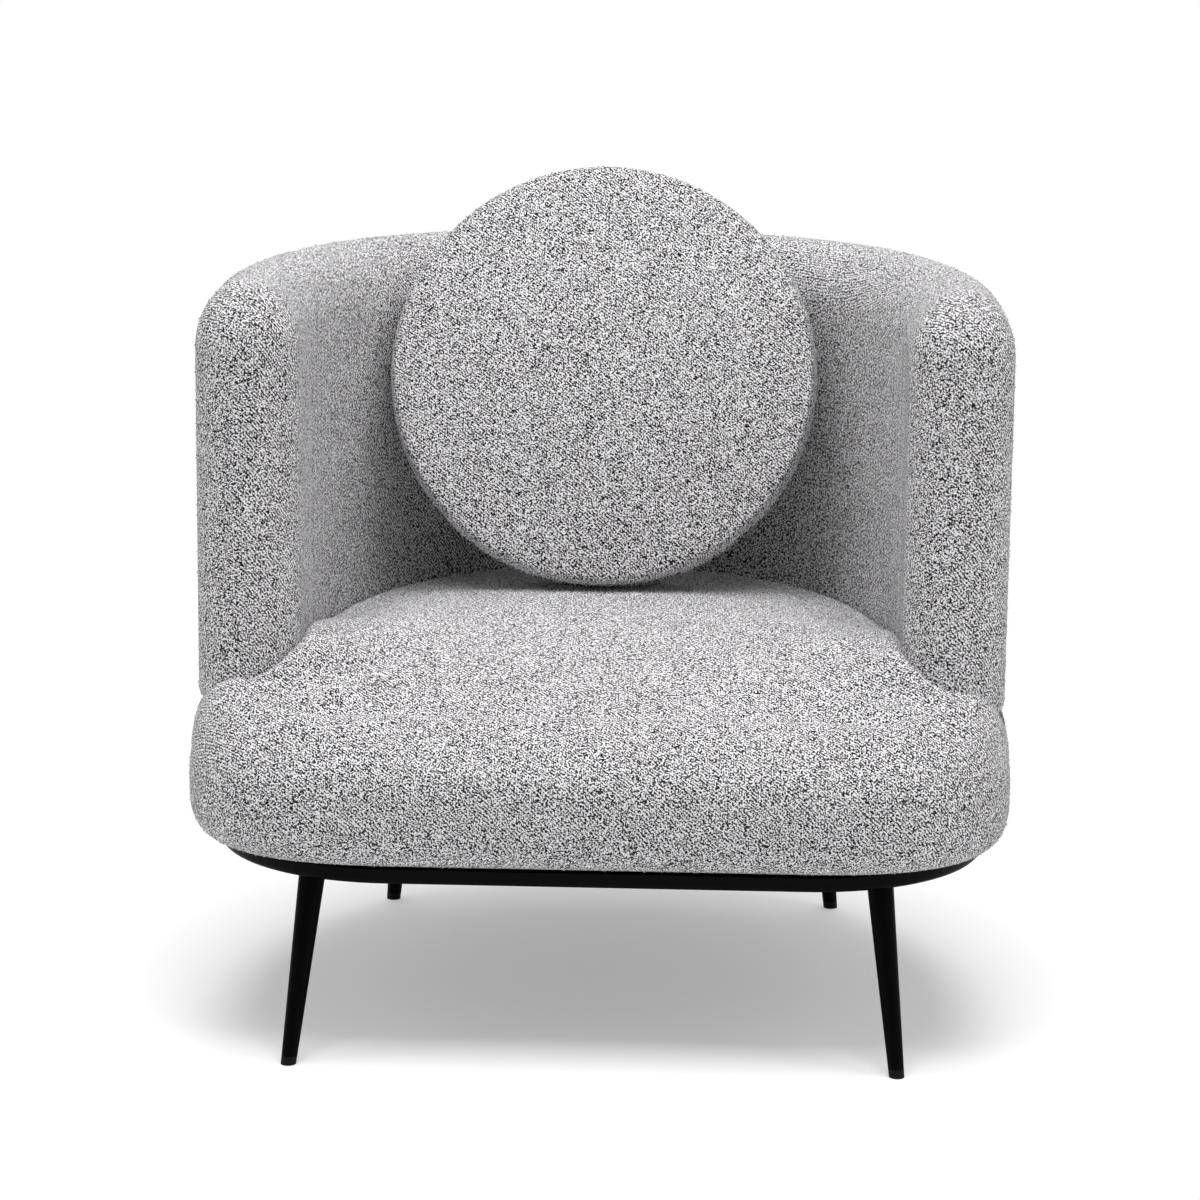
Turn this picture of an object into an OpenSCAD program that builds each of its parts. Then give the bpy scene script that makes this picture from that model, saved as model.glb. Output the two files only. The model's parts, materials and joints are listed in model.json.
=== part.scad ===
// Tub chair: a curved upholstered wall on a wide rounded seat, a plinth board on four
// splayed legs, and a loose round back cushion. Front is -Y, up is +Z, the origin is on
// the floor under the middle of the chair.

/* [Overall] */
// Width over the widest part of the seat
overall_w = 808; // [760:2:960]
// Depth from the seat's front to the back of the seat
overall_d = 642; // [600:2:800]
// Height of the tub's rolled top
tub_top = 750; // [690:1:900]

/* [Plan] */
// Radius of the seat's front corners at its widest line
seat_corner_r = 201; // [150:1:240]
// How far the seat's front corners stand out past their rounding
ear_w = 32; // [0:1:34]
// How far the seat swells out past the tub
seat_bulge = 7; // [2:1:12]
// Distance from the seat's front to the front of the arms
arm_setback = 95; // [60:1:120]
// Radius of the tub's rear corners, on the middle line of the wall
bend_r = 290; // [250:1:310]
// Turn of each side before the rear corner, in degrees
side_turn = 25; // [20:1:30]
// Turn of each rear corner, in degrees
bend_turn = 45; // [40:1:50]

/* [Tub] */
// Thickness of the padded wall
wall_t = 102; // [90:1:120]
// Height of the wall's rolled top
roll_h = 68; // [56:1:80]
// Height of the wall's lower edge, where it sits on the seat
wall_bottom = 345; // [335:1:350]
// Thickness of the cover cloth
cloth_t = 3; // [2:0.5:4]
// Thickness of the tub's foam padding on the wall's faces
tub_pad_t = 20; // [14:1:24]
// Width of the hem folded in under the wall
hem_w = 23; // [15:1:24]
// Thickness of the bent boards
board_t = 3; // [2:0.5:5]
// Thickness of the plywood plates in the wall
plate_t = 18; // [12:1:21]
// Width of each post between the plates, along the wall
post_w = 32; // [24:1:44]

/* [Seat] */
// Height of the seat's widest line
seat_wide_z = 252; // [235:1:262]
// Height of the crown in the middle of the seat
crown_z = 408; // [390:1:420]
// Height of the front shoulder
front_shoulder_z = 334; // [325:1:342]
// Height of the shoulder at the sides
side_shoulder_z = 368; // [360:1:372]
// Height of the shoulder at the back
back_shoulder_z = 376; // [372:1:382]
// How far the front shoulder is drawn in
front_shoulder_w = 66; // [50:1:80]
// How far the side shoulder is drawn in
side_shoulder_w = 47; // [40:1:60]
// How far the lower edge is drawn in
lower_edge_w = 19; // [12:1:24]
// Place of the crown behind the chair's middle
crown_y = 10; // [-20:1:40]
// Height of the underside of the seat foam
foam_bottom = 307.2; // [306.5:0.1:312]

/* [Plinth and legs] */
// Height of the plinth's underside
plinth_z = 180; // [150:1:200]
// Thickness of the plinth board
plinth_t = 15; // [14:1:18]
// How far the plinth is set in from the seat's widest line
plinth_inset = 21; // [18:1:30]
// Radius of the plinth's lower arris
arris_r = 5; // [2:1:7]
// Diameter of the ventilation holes
vent_d = 30; // [20:1:40]
// Distance of the leg tops from the plinth's edge
leg_inset = 23; // [20:1:40]
// Place of the front legs round the front corners, in degrees
front_leg_turn = 62; // [45:1:70]
// Place of the rear legs round the rear corners, in degrees
rear_leg_turn = 52; // [40:1:60]
// Splay of the feet to the sides
splay_x = 19; // [0:1:30]
// Splay of the feet to the front and the back
splay_y = 50; // [0:1:54]
// Leg diameter at the top
leg_top_d = 26; // [22:1:32]
// Leg diameter at the foot
leg_foot_d = 15; // [12:1:20]
// Height of the floor glide
glide_h = 8; // [5:1:12]

/* [Frame] */
// Thickness of the frame's rails
rail_t = 22; // [18:1:24]
// Height of the front rails
rail_h = 95; // [80:1:96]
// Thickness of the blocks glued behind the joints
block_t = 22; // [15:1:30]
// Depth of the spring rail, front to back
spring_rail_w = 26; // [20:1:32]
// Height of the spring rail
spring_rail_h = 45; // [30:1:60]
// Distance of the spring rail from the rear frame rail
spring_rail_setback = 68; // [64:1:80]

/* [Springs] */
// Number of springs
spring_n = 5; // [3:1:5]
// Number of cross bars in each spring
spring_bars = 12; // [8:2:16]
// Spring wire diameter
spring_wire = 4; // [3:0.2:4.2]
// Half of the length of a cross bar between its bends
spring_bar_half = 14; // [8:1:16]
// Clearance between the outer clips and the rails beside them
spring_side_room = 4; // [2:1:12]
// Rise of the springs in the middle
spring_rise = 8; // [2:1:8]
// Thickness of the clip steel
clip_t = 1.2; // [0.8:0.1:1.5]
// Length of a clip along the bar
clip_len = 20; // [12:1:24]
// Thickness of the pad over the springs
spring_pad_t = 3; // [2:0.5:3]

/* [Round cushion] */
// Diameter at the seams
disc_d = 432; // [380:1:460]
// Place of the cushion to the right of the chair's middle
disc_x = -9; // [-12:1:12]
// Width of the gusset
disc_gusset = 46; // [36:1:60]
// Crown of each panel
disc_crown = 18; // [8:1:24]
// Bulge of the gusset between its seams
gusset_bulge = 3; // [2:0.5:5]
// Lean of the cushion, in degrees from upright
disc_lean = 20; // [15:1:24]
// Length of the zip round the gusset, in degrees
zip_turn = 110; // [80:1:140]
// Width of the zip tape
zip_w = 16; // [12:1:20]

/* [Fasteners] */
// Bolt diameter of the tub bolts and the leg studs
bolt_d = 8; // [6:1:8]
// Outer diameter of the threaded inserts in the plinth
insert_d = 13; // [11:1:14]
// Shank diameter of the plinth screws
screw_d = 4; // [3:0.5:5]
// Length of the plinth screws
screw_len = 50; // [40:1:60]

/* [Hidden] */
$fn = 96;

// Clearance between pieces that lie against each other
fit = 0.3;
// Overrun of a cut past the face it opens
over = 1;
// A size larger than the chair, for half spaces
far = 2 * (overall_w + overall_d);

// Plan of the wall's middle line: straight arms, a side arc, a corner arc and a back arc
wall_half = wall_t / 2;
seat_d = wall_half + seat_bulge;
line_w = overall_w / 2 - seat_d;
line_back = overall_d / 2 - seat_d;
front_y = -overall_d / 2;
corner = [overall_w / 2 - seat_corner_r, front_y + seat_corner_r];
corner_r = seat_corner_r - seat_d;
nose = [line_w, front_y + arm_setback + wall_half];
turn_1 = side_turn;
turn_2 = side_turn + bend_turn;
// The side and back radii follow from the half width and the depth to be reached
run_w = line_w - bend_r * (cos(turn_1) - cos(turn_2));
run_d = line_back - corner.y - bend_r * (sin(turn_2) - sin(turn_1));
solve = (1 - cos(turn_1)) * (1 - sin(turn_2)) - cos(turn_2) * sin(turn_1);
side_r = (run_w * (1 - sin(turn_2)) - run_d * cos(turn_2)) / solve;
back_r = (run_d * (1 - cos(turn_1)) - run_w * sin(turn_1)) / solve;
side_c = [line_w - side_r, corner.y];
bend_c = side_c + (side_r - bend_r) * [cos(turn_1), sin(turn_1)];
back_c = [0, line_back - back_r];

// Heights
roll_z = tub_top - roll_h;
plinth_top = plinth_z + plinth_t;
rail_top = plinth_top + rail_h;
hem_top = wall_bottom + cloth_t;
plate_z = hem_top + fit;
top_plate_z = roll_z + cloth_t;
board_top = top_plate_z + plate_t;

// Half widths of the layers in the wall
pad_out = wall_half - cloth_t - fit;
pad_in = pad_out - tub_pad_t;
board_out = pad_in - fit;
board_in = board_out - board_t;
plate_half = board_in - fit;

// Stations along one half of the plan, from the middle of the front to the middle of the back
front_steps = 3;
corner_steps = 8;
side_steps = 4;
bend_steps = 7;
back_steps = 3;
ear_power = 2.25;
i_corner = front_steps;
i_side = i_corner + corner_steps;
split_steps = 4;
i_split = i_side + side_steps + split_steps;
i_back = i_side + side_steps + bend_steps + back_steps;

function dir(t) = [cos(t), sin(t)];
function arc_c(t) = t < turn_1 ? side_c : t < turn_2 ? bend_c : back_c;
function arc_r(t) = t < turn_1 ? side_r : t < turn_2 ? bend_r : back_r;
// Point by its turn from the side, moved out from the middle line
function on_line(t, out = 0) = arc_c(t) + (arc_r(t) + out) * dir(t);
// Point on a front corner by its turn from the side
function on_corner(t, out = 0) = corner + (corner_r + out) * dir(-t);

// Half of the plan moved out from the middle line, with every step cut in fine parts and the
// front corner drawn out by an ear
function half_line(out, fine = 1, ear = 0) = concat(
  [for (i = [0:front_steps - 1]) [corner.x * i / front_steps, corner.y - corner_r - out]],
  [for (i = [0:corner_steps * fine - 1])
    let (t = 90 - 90 * i / (corner_steps * fine))
    on_corner(t, out + ear * pow(sin(2 * t), ear_power))],
  [for (i = [0:side_steps * fine - 1]) side_c + (side_r + out) * dir(turn_1 * i / (side_steps * fine))],
  [for (i = [0:bend_steps * fine - 1])
    bend_c + (bend_r + out) * dir(turn_1 + bend_turn * i / (bend_steps * fine))],
  [for (i = [0:back_steps * fine])
    back_c + (back_r + out) * dir(turn_2 + (90 - turn_2) * i / (back_steps * fine))]
);
function reversed(list) = [for (i = [len(list) - 1:-1:0]) list[i]];
function mirrored(list) = [for (p = list) [-p.x, p.y]];
function but_first(list) = [for (i = [1:len(list) - 1]) list[i]];
// Whole ring of the plan from its half
function whole(half) = concat(half, but_first(reversed(mirrored(but_first(half)))));
// Stretch of the half line between two stations, and the same carried on to the other side
function stretch(out, from, to) = let (half = half_line(out)) [for (i = [from:to]) half[i]];
function across(list) = concat(list, but_first(reversed(mirrored(list))));

// Repeats its children on both sides of the chair
module both() {
  children();
  mirror([1, 0, 0]) children();
}

// Prism of an outline between two heights
module prism(outline, from, to) translate([0, 0, from]) linear_extrude(to - from) polygon(outline);
module plan_prism(out, from, to) prism(whole(half_line(out)), from, to);

// Bent strip between two lines, on the right side or right across the back
module strip(in_line, out_line, i_from, i_to, from, to)
  prism(concat(stretch(out_line, i_from, i_to), reversed(stretch(in_line, i_from, i_to))), from, to);
module back_strip(in_line, out_line, i_from, from, to)
  prism(concat(across(stretch(out_line, i_from, i_back)),
    reversed(across(stretch(in_line, i_from, i_back)))), from, to);

// Outline of the wall at a half width: round arm front, outer line, round arm front, inner line
nose_steps = 6;
function nose_arc(w) = [for (i = [0:nose_steps]) nose + w * dir(-180 + 180 * i / nose_steps)];
function wall_outline(w) = concat(
  nose_arc(w),
  across(stretch(w, i_side, i_back)),
  reversed(mirrored(nose_arc(w))),
  reversed(across(stretch(-w, i_side, i_back)))
);
module wall_prism(w, from, to) prism(wall_outline(w), from, to);

// Triangles that close the outline's lower end: a fan in each arm front, and across the wall
// each outer point paired with the inner one
function wall_ends(n) =
  let (line_n = (n - 2 * (nose_steps + 1)) / 2, left = nose_steps + 1 + line_n)
  concat(
    [for (i = [1:nose_steps - 1]) [0, i, i + 1]],
    [for (i = [1:nose_steps - 1]) [left, left + i, left + i + 1]],
    [for (i = [0:line_n])
      let (a = nose_steps + i, b = a + 1, c = (2 * n - i) % n, d = n - 1 - i)
      each [[c, a, b], [c, b, d]]]
  );

// Rings of the wall from a lower edge to its rolled top, each a half width and a height
roll_steps = 5;
roll_end = 80;
function roll_rings(w, from) = concat(
  [[w, from]],
  [for (k = [0:roll_steps])
    let (t = roll_end * k / roll_steps, h = roll_h - wall_half + w)
    [w * cos(t), roll_z + h * (k < roll_steps ? sin(t) : 1)]]
);

// Solid between rings of the wall's outline, closed across its first and its last ring
module wall_stack(rings) {
  n = len(wall_outline(rings[0][0]));
  top = (len(rings) - 1) * n;
  points = [for (r = rings) for (p = wall_outline(r[0])) [p.x, p.y, r[1]]];
  sides = [for (k = [0:len(rings) - 2]) for (i = [0:n - 1])
    let (j = (i + 1) % n, a = k * n, b = a + n)
    each [[a + i, b + i, b + j], [a + i, b + j, a + j]]];
  ends = wall_ends(n);
  polyhedron(points, concat(sides, ends, [for (f = ends) [f[0] + top, f[2] + top, f[1] + top]]));
}

// Depth of the wall's inner face at a place across the chair, half a wall width w inwards
function inner_y(x, w) =
  abs(x) < on_line(turn_2, -w).x ? back_c.y + sqrt(pow(back_r - w, 2) - x * x)
    : bend_c.y + sqrt(max(0, pow(bend_r - w, 2) - pow(abs(x) - bend_c.x, 2)));

// The space that the wall takes in the seat
module wall_seat() wall_prism(wall_half + fit, wall_bottom - fit, tub_top);

// Seat form: rings of points from the lower edge round the widest line to the crown
lower_steps = 3;
upper_steps = 4;
crown_steps = 4;
edge_power = 0.8;
crown_power = 2;
ring_n = len(whole(half_line(0)));

drop_power = 3;
function front_share(y, power = 2) = pow(max(0, min(1, (corner.y - y) / (corner.y - front_y))), power);
function back_share(y) = pow(max(0, min(1, (y - corner.y) / (overall_d / 2 - corner.y))), 2);
function shoulder_z(y) = side_shoulder_z
  + (front_shoulder_z - side_shoulder_z) * front_share(y, drop_power)
  + (back_shoulder_z - side_shoulder_z) * back_share(y);
function shoulder_w(y) = side_shoulder_w + (front_shoulder_w - side_shoulder_w) * front_share(y);

// One ring of the seat, a skin e inside its surface; share runs from 0 to 1 on each stretch
function lower_ring(e, from, share) =
  let (out_share = pow(cos(90 * share), edge_power),
       inset = lower_edge_w * (1 - out_share),
       z = seat_wide_z - (seat_wide_z - from) * pow(sin(90 * share), edge_power))
  [for (p = whole(half_line(seat_d - e - inset, 1, ear_w * out_share))) [p.x, p.y, z]];
function upper_ring(e, share) =
  let (in_share = 1 - pow(cos(90 * share), edge_power), up_share = pow(sin(90 * share), edge_power),
       outer = whole(half_line(seat_d - e, 1, ear_w)),
       inner = whole(half_line(seat_d - e - side_shoulder_w, 1, ear_w)))
  [for (i = [0:ring_n - 1])
    let (y = outer[i].y, w_share = in_share * shoulder_w(y) / side_shoulder_w,
         p = outer[i] + (inner[i] - outer[i]) * w_share)
    [p.x, p.y, seat_wide_z + (shoulder_z(y) - e - seat_wide_z) * up_share]];
function crown_ring(e, share) = [for (p = upper_ring(e, 1))
  let (s = 1 - share)
  [p.x * s, crown_y + (p.y - crown_y) * s, p.z + (crown_z - e - p.z) * (1 - pow(s, crown_power))]];
// Height of the seat behind its crown, on the chair's middle plane
function seat_z(y) =
  let (edge_y = line_back + seat_d - side_shoulder_w, s = (y - crown_y) / (edge_y - crown_y))
  back_shoulder_z + (crown_z - back_shoulder_z) * (1 - pow(s, crown_power));

// Solid of stacked rings, closed by a point in the middle of each end
module ring_stack(rings, low, high) {
  n = len(rings[0]);
  last = len(rings) * n;
  sides = [for (k = [0:len(rings) - 2]) for (i = [0:n - 1])
    let (j = (i + 1) % n, a = k * n, b = a + n)
    each [[a + i, b + i, b + j], [a + i, b + j, a + j]]];
  ends = [for (i = [0:n - 1])
    let (j = (i + 1) % n, a = last - n)
    each [[last, i, j], [last + 1, a + j, a + i]]];
  polyhedron(concat([for (r = rings) each r], [low, high]), concat(sides, ends));
}

module seat_form(e, from)
  ring_stack(concat(
    [for (k = [lower_steps:-1:1]) lower_ring(e, from, k / lower_steps)],
    [for (k = [0:upper_steps]) upper_ring(e, k / upper_steps)],
    [for (k = [1:crown_steps - 1]) crown_ring(e, k / crown_steps)]),
    [0, crown_y, from], [0, crown_y, crown_z - e]);

// Legs
leg_axis_r = corner_r + seat_d - plinth_inset - leg_inset;
front_top = corner + leg_axis_r * [cos(front_leg_turn), -sin(front_leg_turn)];
rear_top = on_line(rear_leg_turn, seat_d - plinth_inset - leg_inset);
stud_hole = 30;

// Slab of the whole plan between two heights
module slab(from, to) translate([-far / 2, -far / 2, from]) cube([far, far, to - from]);

// Turn of a leg about its own axis, which puts the edge where its surface closes at the side
leg_spin = 90;
// A cone from a foot point on the floor to a point on the plinth's underside, run on at both ends
module leg_cone(top, out_y) {
  foot = [top.x + splay_x, top.y + out_y * splay_y, 0];
  v = [top.x, top.y, plinth_z] - foot;
  run_share = 0.2;
  d_run = (leg_top_d - leg_foot_d) * run_share;
  translate(foot - v * run_share) rotate([0, acos(v.z / norm(v)), atan2(v.y, v.x)]) rotate([0, 0, leg_spin])
    cylinder(d1 = leg_foot_d - d_run, d2 = leg_top_d + d_run, h = norm(v) * (1 + 2 * run_share));
}

module leg(top, out_y) difference() {
  intersection() {
    leg_cone(top, out_y);
    slab(glide_h, plinth_z);
  }
  translate([top.x, top.y, plinth_z - stud_hole]) cylinder(d = bolt_d, h = stud_hole + over);
}

module glide(top, out_y) intersection() {
  leg_cone(top, out_y);
  slab(0, glide_h);
}

module at_legs() both() for (p = [front_top, rear_top]) translate([p.x, p.y, 0]) children();

module leg_front_right() color("#161616") leg(front_top, -1);
module leg_front_left() color("#161616") mirror([1, 0, 0]) leg(front_top, -1);
module leg_rear_right() color("#161616") leg(rear_top, 1);
module leg_rear_left() color("#161616") mirror([1, 0, 0]) leg(rear_top, 1);
module foot_glides() color("#0c0c0c") both() {
  glide(front_top, -1);
  glide(rear_top, 1);
}

// Threaded inserts sit blind in the plinth, and the studs run up into them from the legs
insert_len = plinth_t - over;
module leg_studs() color("#9a9a9a") at_legs()
  translate([0, 0, plinth_z - stud_hole]) cylinder(d = bolt_d, h = stud_hole + insert_len);
module leg_inserts() color("#b9a060") at_legs() translate([0, 0, plinth_z]) difference() {
  cylinder(d = insert_d, h = insert_len);
  translate([0, 0, -over]) cylinder(d = bolt_d, h = insert_len + 2 * over);
}

// Plinth
plinth_d = seat_d - plinth_inset;
screw_head_d = 2 * screw_d;
screw_head_h = screw_d / 2;

arris_steps = 3;
fine_steps = 3;
module plinth_board()
  ring_stack(concat(
    [for (k = [0:arris_steps])
      let (t = 90 * k / arris_steps)
      [for (p = whole(half_line(plinth_d - arris_r * (1 - sin(t)), fine_steps)))
        [p.x, p.y, plinth_z + arris_r * (1 - cos(t))]]],
    [[for (p = whole(half_line(plinth_d, fine_steps))) [p.x, p.y, plinth_top]]]),
    [0, 0, plinth_z], [0, 0, plinth_top]);

// Places of the plinth screws, all under the middle of the rails
module at_screws() {
  for (x = [-corner.x / 2, corner.x / 2]) translate([x, corner.y - corner_r, plinth_z]) children();
  both() {
    translate(concat(on_corner(30), plinth_z)) children();
    for (t = [turn_1 / 2, (turn_1 + turn_2) / 2]) translate(concat(on_line(t), plinth_z)) children();
  }
  translate([0, line_back, plinth_z]) children();
}

module screw() {
  cylinder(d1 = screw_head_d, d2 = screw_d, h = screw_head_h);
  cylinder(d = screw_d, h = screw_len);
}

vent_x = line_w / 2;
vent_y = line_back / 2;
module plinth() color("#111111") difference() {
  plinth_board();
  at_legs() translate([0, 0, plinth_z - over]) cylinder(d = insert_d, h = insert_len + over);
  at_screws() screw();
  for (x = [-vent_x, 0, vent_x], y = [-vent_y, vent_y])
    translate([x, y, plinth_z - over]) cylinder(d = vent_d, h = plinth_t + 2 * over);
}
module plinth_screws() color("#b0b0b0") at_screws() screw();

// Seat frame of bent plywood rails, glued end to end on the plinth
rail_half = rail_t / 2;
module screwed() difference() {
  children();
  at_screws() screw();
  at_bolts() bolt_shank();
}
module front_rail() color("#d2b182") screwed()
  translate([-corner.x, corner.y - corner_r - rail_half, plinth_top]) cube([2 * corner.x, rail_t, rail_h]);
module corner_rail() screwed() strip(-rail_half, rail_half, i_corner, i_side, plinth_top, rail_top);
module corner_rail_right() color("#cfae80") corner_rail();
module corner_rail_left() color("#cfae80") mirror([1, 0, 0]) corner_rail();
module side_rail() screwed() strip(-rail_half, rail_half, i_side, i_split, plinth_top, plate_z);
module side_rail_right() color("#d4b486") side_rail();
module side_rail_left() color("#d4b486") mirror([1, 0, 0]) side_rail();
module back_rail() color("#d0b082") screwed()
  back_strip(-rail_half, rail_half, i_split, plinth_top, plate_z);

// Blocks glued on the rails' inner faces, across each joint
block_h = rail_h - spring_rail_h - fit;
module block(i_from, i_to)
  strip(-rail_half - block_t, -rail_half, i_from, i_to, plinth_top, plinth_top + block_h);
module joint_blocks() color("#b8935f") both() {
  translate([corner.x - block_h, corner.y - corner_r + rail_half, plinth_top]) cube([block_h, block_t, block_h]);
  block(i_corner, i_corner + 2);
  block(i_side - 1, i_side + 1);
  block(i_split - 1, i_split + 1);
}

// Blocks that carry the arm fronts on the corner rails, up against the side rails
arm_block_w = corner.y - nose.y + rail_half;
module arm_blocks() color("#b8935f") both() difference() {
  translate([nose.x - rail_half - hem_w / 4, nose.y - rail_half, rail_top])
    cube([rail_t + hem_w / 4, arm_block_w, plate_z - rail_top]);
  at_bolts() bolt_shank();
}

// Rear spring rail, let in between the frame's side rails
spring_rail_y = line_back - spring_rail_setback;
module spring_rail() color("#cda977") intersection() {
  translate([-far / 2, spring_rail_y - spring_rail_w / 2, rail_top - spring_rail_h])
    cube([far, spring_rail_w, spring_rail_h]);
  plan_prism(-rail_half, plinth_top, rail_top);
}

// Zigzag springs: each wire is one tube that bends to and fro between the two spring rails
wire_r = spring_wire / 2;
clip_r = wire_r + fit + clip_t;
clip_foot = 3 * wire_r;
wire_z = rail_top + clip_r;
spring_y = [corner.y - corner_r, spring_rail_y];
bar_step = (spring_y[1] - spring_y[0]) / (spring_bars - 1);
bend_points = 3;
wire_sides = 6;
end_bar_half = spring_bar_half + clip_len / 2;

// The outer springs reach to the rails' inner faces at the spring rail, less the clearance
spring_reach = bend_c.x - spring_side_room - end_bar_half
  + sqrt(pow(bend_r - rail_half, 2) - pow(spring_rail_y + clip_foot - bend_c.y, 2));
spring_gap = 2 * spring_reach / (spring_n - 1);

function lift(y) = wire_z + spring_rise * sin(180 * (y - spring_y[0]) / (spring_y[1] - spring_y[0]));
function spring_path() = [
  for (p = concat(
    [[-end_bar_half, spring_y[0]]],
    [for (i = [0:spring_bars - 2]) for (k = [0:bend_points])
      let (side = i % 2 == 0 ? 1 : -1, t = -90 + 180 * k / bend_points)
      [side * (spring_bar_half + bar_step / 2 * cos(t)), spring_y[0] + bar_step * (i + 0.5) + bar_step / 2 * sin(t)]],
    [[(spring_bars % 2 == 0 ? -1 : 1) * end_bar_half, spring_y[1]]]))
  [p.x, p.y, lift(p.y)]];

module wire(path) {
  n = len(path);
  rings = [for (i = [0:n - 1])
    let (t = path[min(i + 1, n - 1)] - path[max(i - 1, 0)],
         side = cross(t, [0, 0, 1]) / norm(cross(t, [0, 0, 1])),
         up = cross(side, t) / norm(t))
    [for (k = [0:wire_sides - 1])
      let (a = 360 * (k + 0.5) / wire_sides)
      path[i] + wire_r * (side * cos(a) + up * sin(a))]];
  sides = [for (i = [0:n - 2]) for (k = [0:wire_sides - 1])
    let (j = (k + 1) % wire_sides, a = i * wire_sides, b = a + wire_sides)
    each [[a + k, a + j, b + j], [a + k, b + j, b + k]]];
  caps = [for (k = [1:wire_sides - 2])
    let (b = (n - 1) * wire_sides)
    each [[0, k + 1, k], [b, b + k, b + k + 1]]];
  polyhedron([for (r = rings) each r], concat(sides, caps));
}

module at_springs()
  for (i = [0:spring_n - 1]) translate([(i - (spring_n - 1) / 2) * spring_gap, 0, 0]) children();

module seat_springs() color("#8f959b") at_springs() wire(spring_path());

// Clips: a foot on the rail and a curl over the end bar, open towards the spring
module clip(y, open_to) translate([0, y, wire_z]) difference() {
  translate([-clip_len / 2, 0, 0]) {
    rotate([0, 90, 0]) cylinder(r = clip_r, h = clip_len);
    translate([0, open_to < 0 ? 0 : -clip_foot, -clip_r])
      cube([clip_len, clip_foot, clip_t]);
  }
  translate([-clip_len / 2 - over, 0, 0]) rotate([0, 90, 0])
    cylinder(r = wire_r + fit, h = clip_len + 2 * over);
  translate([-clip_len, open_to > 0 ? 0 : -far, -wire_r - fit]) cube([2 * clip_len, far, 2 * (wire_r + fit)]);
}
module spring_clips() color("#c9ccd0") at_springs() {
  clip(spring_y[0], 1);
  clip(spring_y[1], -1);
}

// Felt pad that lies on the springs' crest
pad_z = wire_z + spring_rise + wire_r + fit;
module spring_pad() color("#8a8478") intersection() {
  plan_prism(-rail_half - block_t, pad_z, pad_z + spring_pad_t);
  translate([-far / 2, spring_y[0] + rail_t, 0])
    cube([far, spring_y[1] - spring_y[0] - rail_t, far]);
}

// Seat foam and cover
module frame_space() {
  back_strip(-rail_half - fit, rail_half + fit, i_side, 0, plate_z + fit);
  both() translate([nose.x - rail_half - hem_w / 4 - fit, nose.y - rail_half - fit, 0])
    cube([rail_t + hem_w / 4 + 2 * fit, arm_block_w + 2 * fit, plate_z + fit]);
}
module seat_foam() color("#e9e2c6") difference() {
  intersection() {
    seat_form(cloth_t + fit, plinth_top);
    slab(foam_bottom, far);
  }
  wall_seat();
  frame_space();
}
module border_foam() color("#e3dbba") difference() {
  intersection() {
    seat_form(cloth_t + fit, plinth_top);
    slab(plinth_top + fit, foam_bottom - fit);
  }
  plan_prism(rail_half + fit, 0, rail_top + fit);
  plan_prism(clip_foot + fit, rail_top, foam_bottom);
  frame_space();
}
module seat_cover() color("#a9a9ab") difference() {
  seat_form(0, plinth_top);
  seat_form(cloth_t, plinth_top - over);
  wall_seat();
}

// Wall of the tub: plates, posts and boards, padding and cover
module tub_base_plate() color("#caa573") difference() {
  wall_prism(plate_half, plate_z, plate_z + plate_t);
  at_bolts() bolt_shank();
}
module tub_top_plate() color("#caa573")
  wall_prism(plate_half, top_plate_z, top_plate_z + plate_t);

post_turn_shares = [0.16, 0.42, 0.72];
post_z = plate_z + plate_t;
module post() translate([-wall_half, -post_w / 2, 0]) cube([wall_t, post_w, tub_top]);
module tub_posts() color("#d8bb90") intersection() {
  wall_prism(plate_half, post_z, top_plate_z);
  union() {
    both() for (share = post_turn_shares)
      translate(concat(on_line(90 * share), 0)) rotate([0, 0, 90 * share]) post();
    translate([0, line_back, 0]) rotate([0, 0, 90]) post();
  }
}
// Half round posts in the arm fronts, as thick as the frame and its boards
module arm_posts() color("#d8bb90") both()
  prism([for (p = nose_arc(board_out)) [p.x, p.y - fit]], post_z, top_plate_z);

// Bent boards on both faces of the frame, from arm front to arm front
module board(in_line, out_line) {
  function side(out) = concat([[nose.x + out, nose.y]], stretch(out, i_side, i_back));
  prism(concat(across(side(out_line)), reversed(across(side(in_line)))), plate_z, board_top);
}
module tub_inner_board() color("#9c7a50") board(-board_out, -board_in);
module tub_outer_board() color("#9c7a50") board(board_in, board_out);

// Padding and cover: up the inner face's rings to the top, and round to the outer face
module tub_padding() color("#ece6cf")
  wall_stack(concat([[pad_in, board_top + fit], [pad_in, plate_z]], roll_rings(pad_out, plate_z)));

module tub_cover() color("#a9a9ab") wall_stack(concat(
  reversed(roll_rings(wall_half - cloth_t, hem_top)),
  [[wall_half - hem_w, hem_top], [wall_half - hem_w, wall_bottom]],
  roll_rings(wall_half, wall_bottom)));

// Bolts from the tub's base plate down into the frame
bolt_grip = 50;
bolt_len = plate_t + bolt_grip;
washer_t = 2;
washer_d = 2.5 * bolt_d;
bolt_head_h = 5;
bolt_turn_shares = [0.08, 0.6];
module at_bolts() {
  both() {
    translate([nose.x, nose.y + washer_d, plate_z + plate_t]) children();
    for (share = bolt_turn_shares) translate(concat(on_line(90 * share), plate_z + plate_t)) children();
    translate([post_w, line_back, plate_z + plate_t]) children();
  }
}
module bolt_shank() translate([0, 0, -bolt_len]) cylinder(d = bolt_d, h = bolt_len + over);
module tub_bolts() color("#a6a6a6") at_bolts() {
  translate([0, 0, -bolt_len]) cylinder(d = bolt_d, h = bolt_len + washer_t);
  translate([0, 0, washer_t]) cylinder(d = 2 * bolt_d, h = bolt_head_h, $fn = 6);
}
module tub_washers() color("#c4c4c4") at_bolts() difference() {
  cylinder(d = washer_d, h = washer_t);
  translate([0, 0, -over]) cylinder(d = bolt_d, h = washer_t + 2 * over);
}

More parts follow.
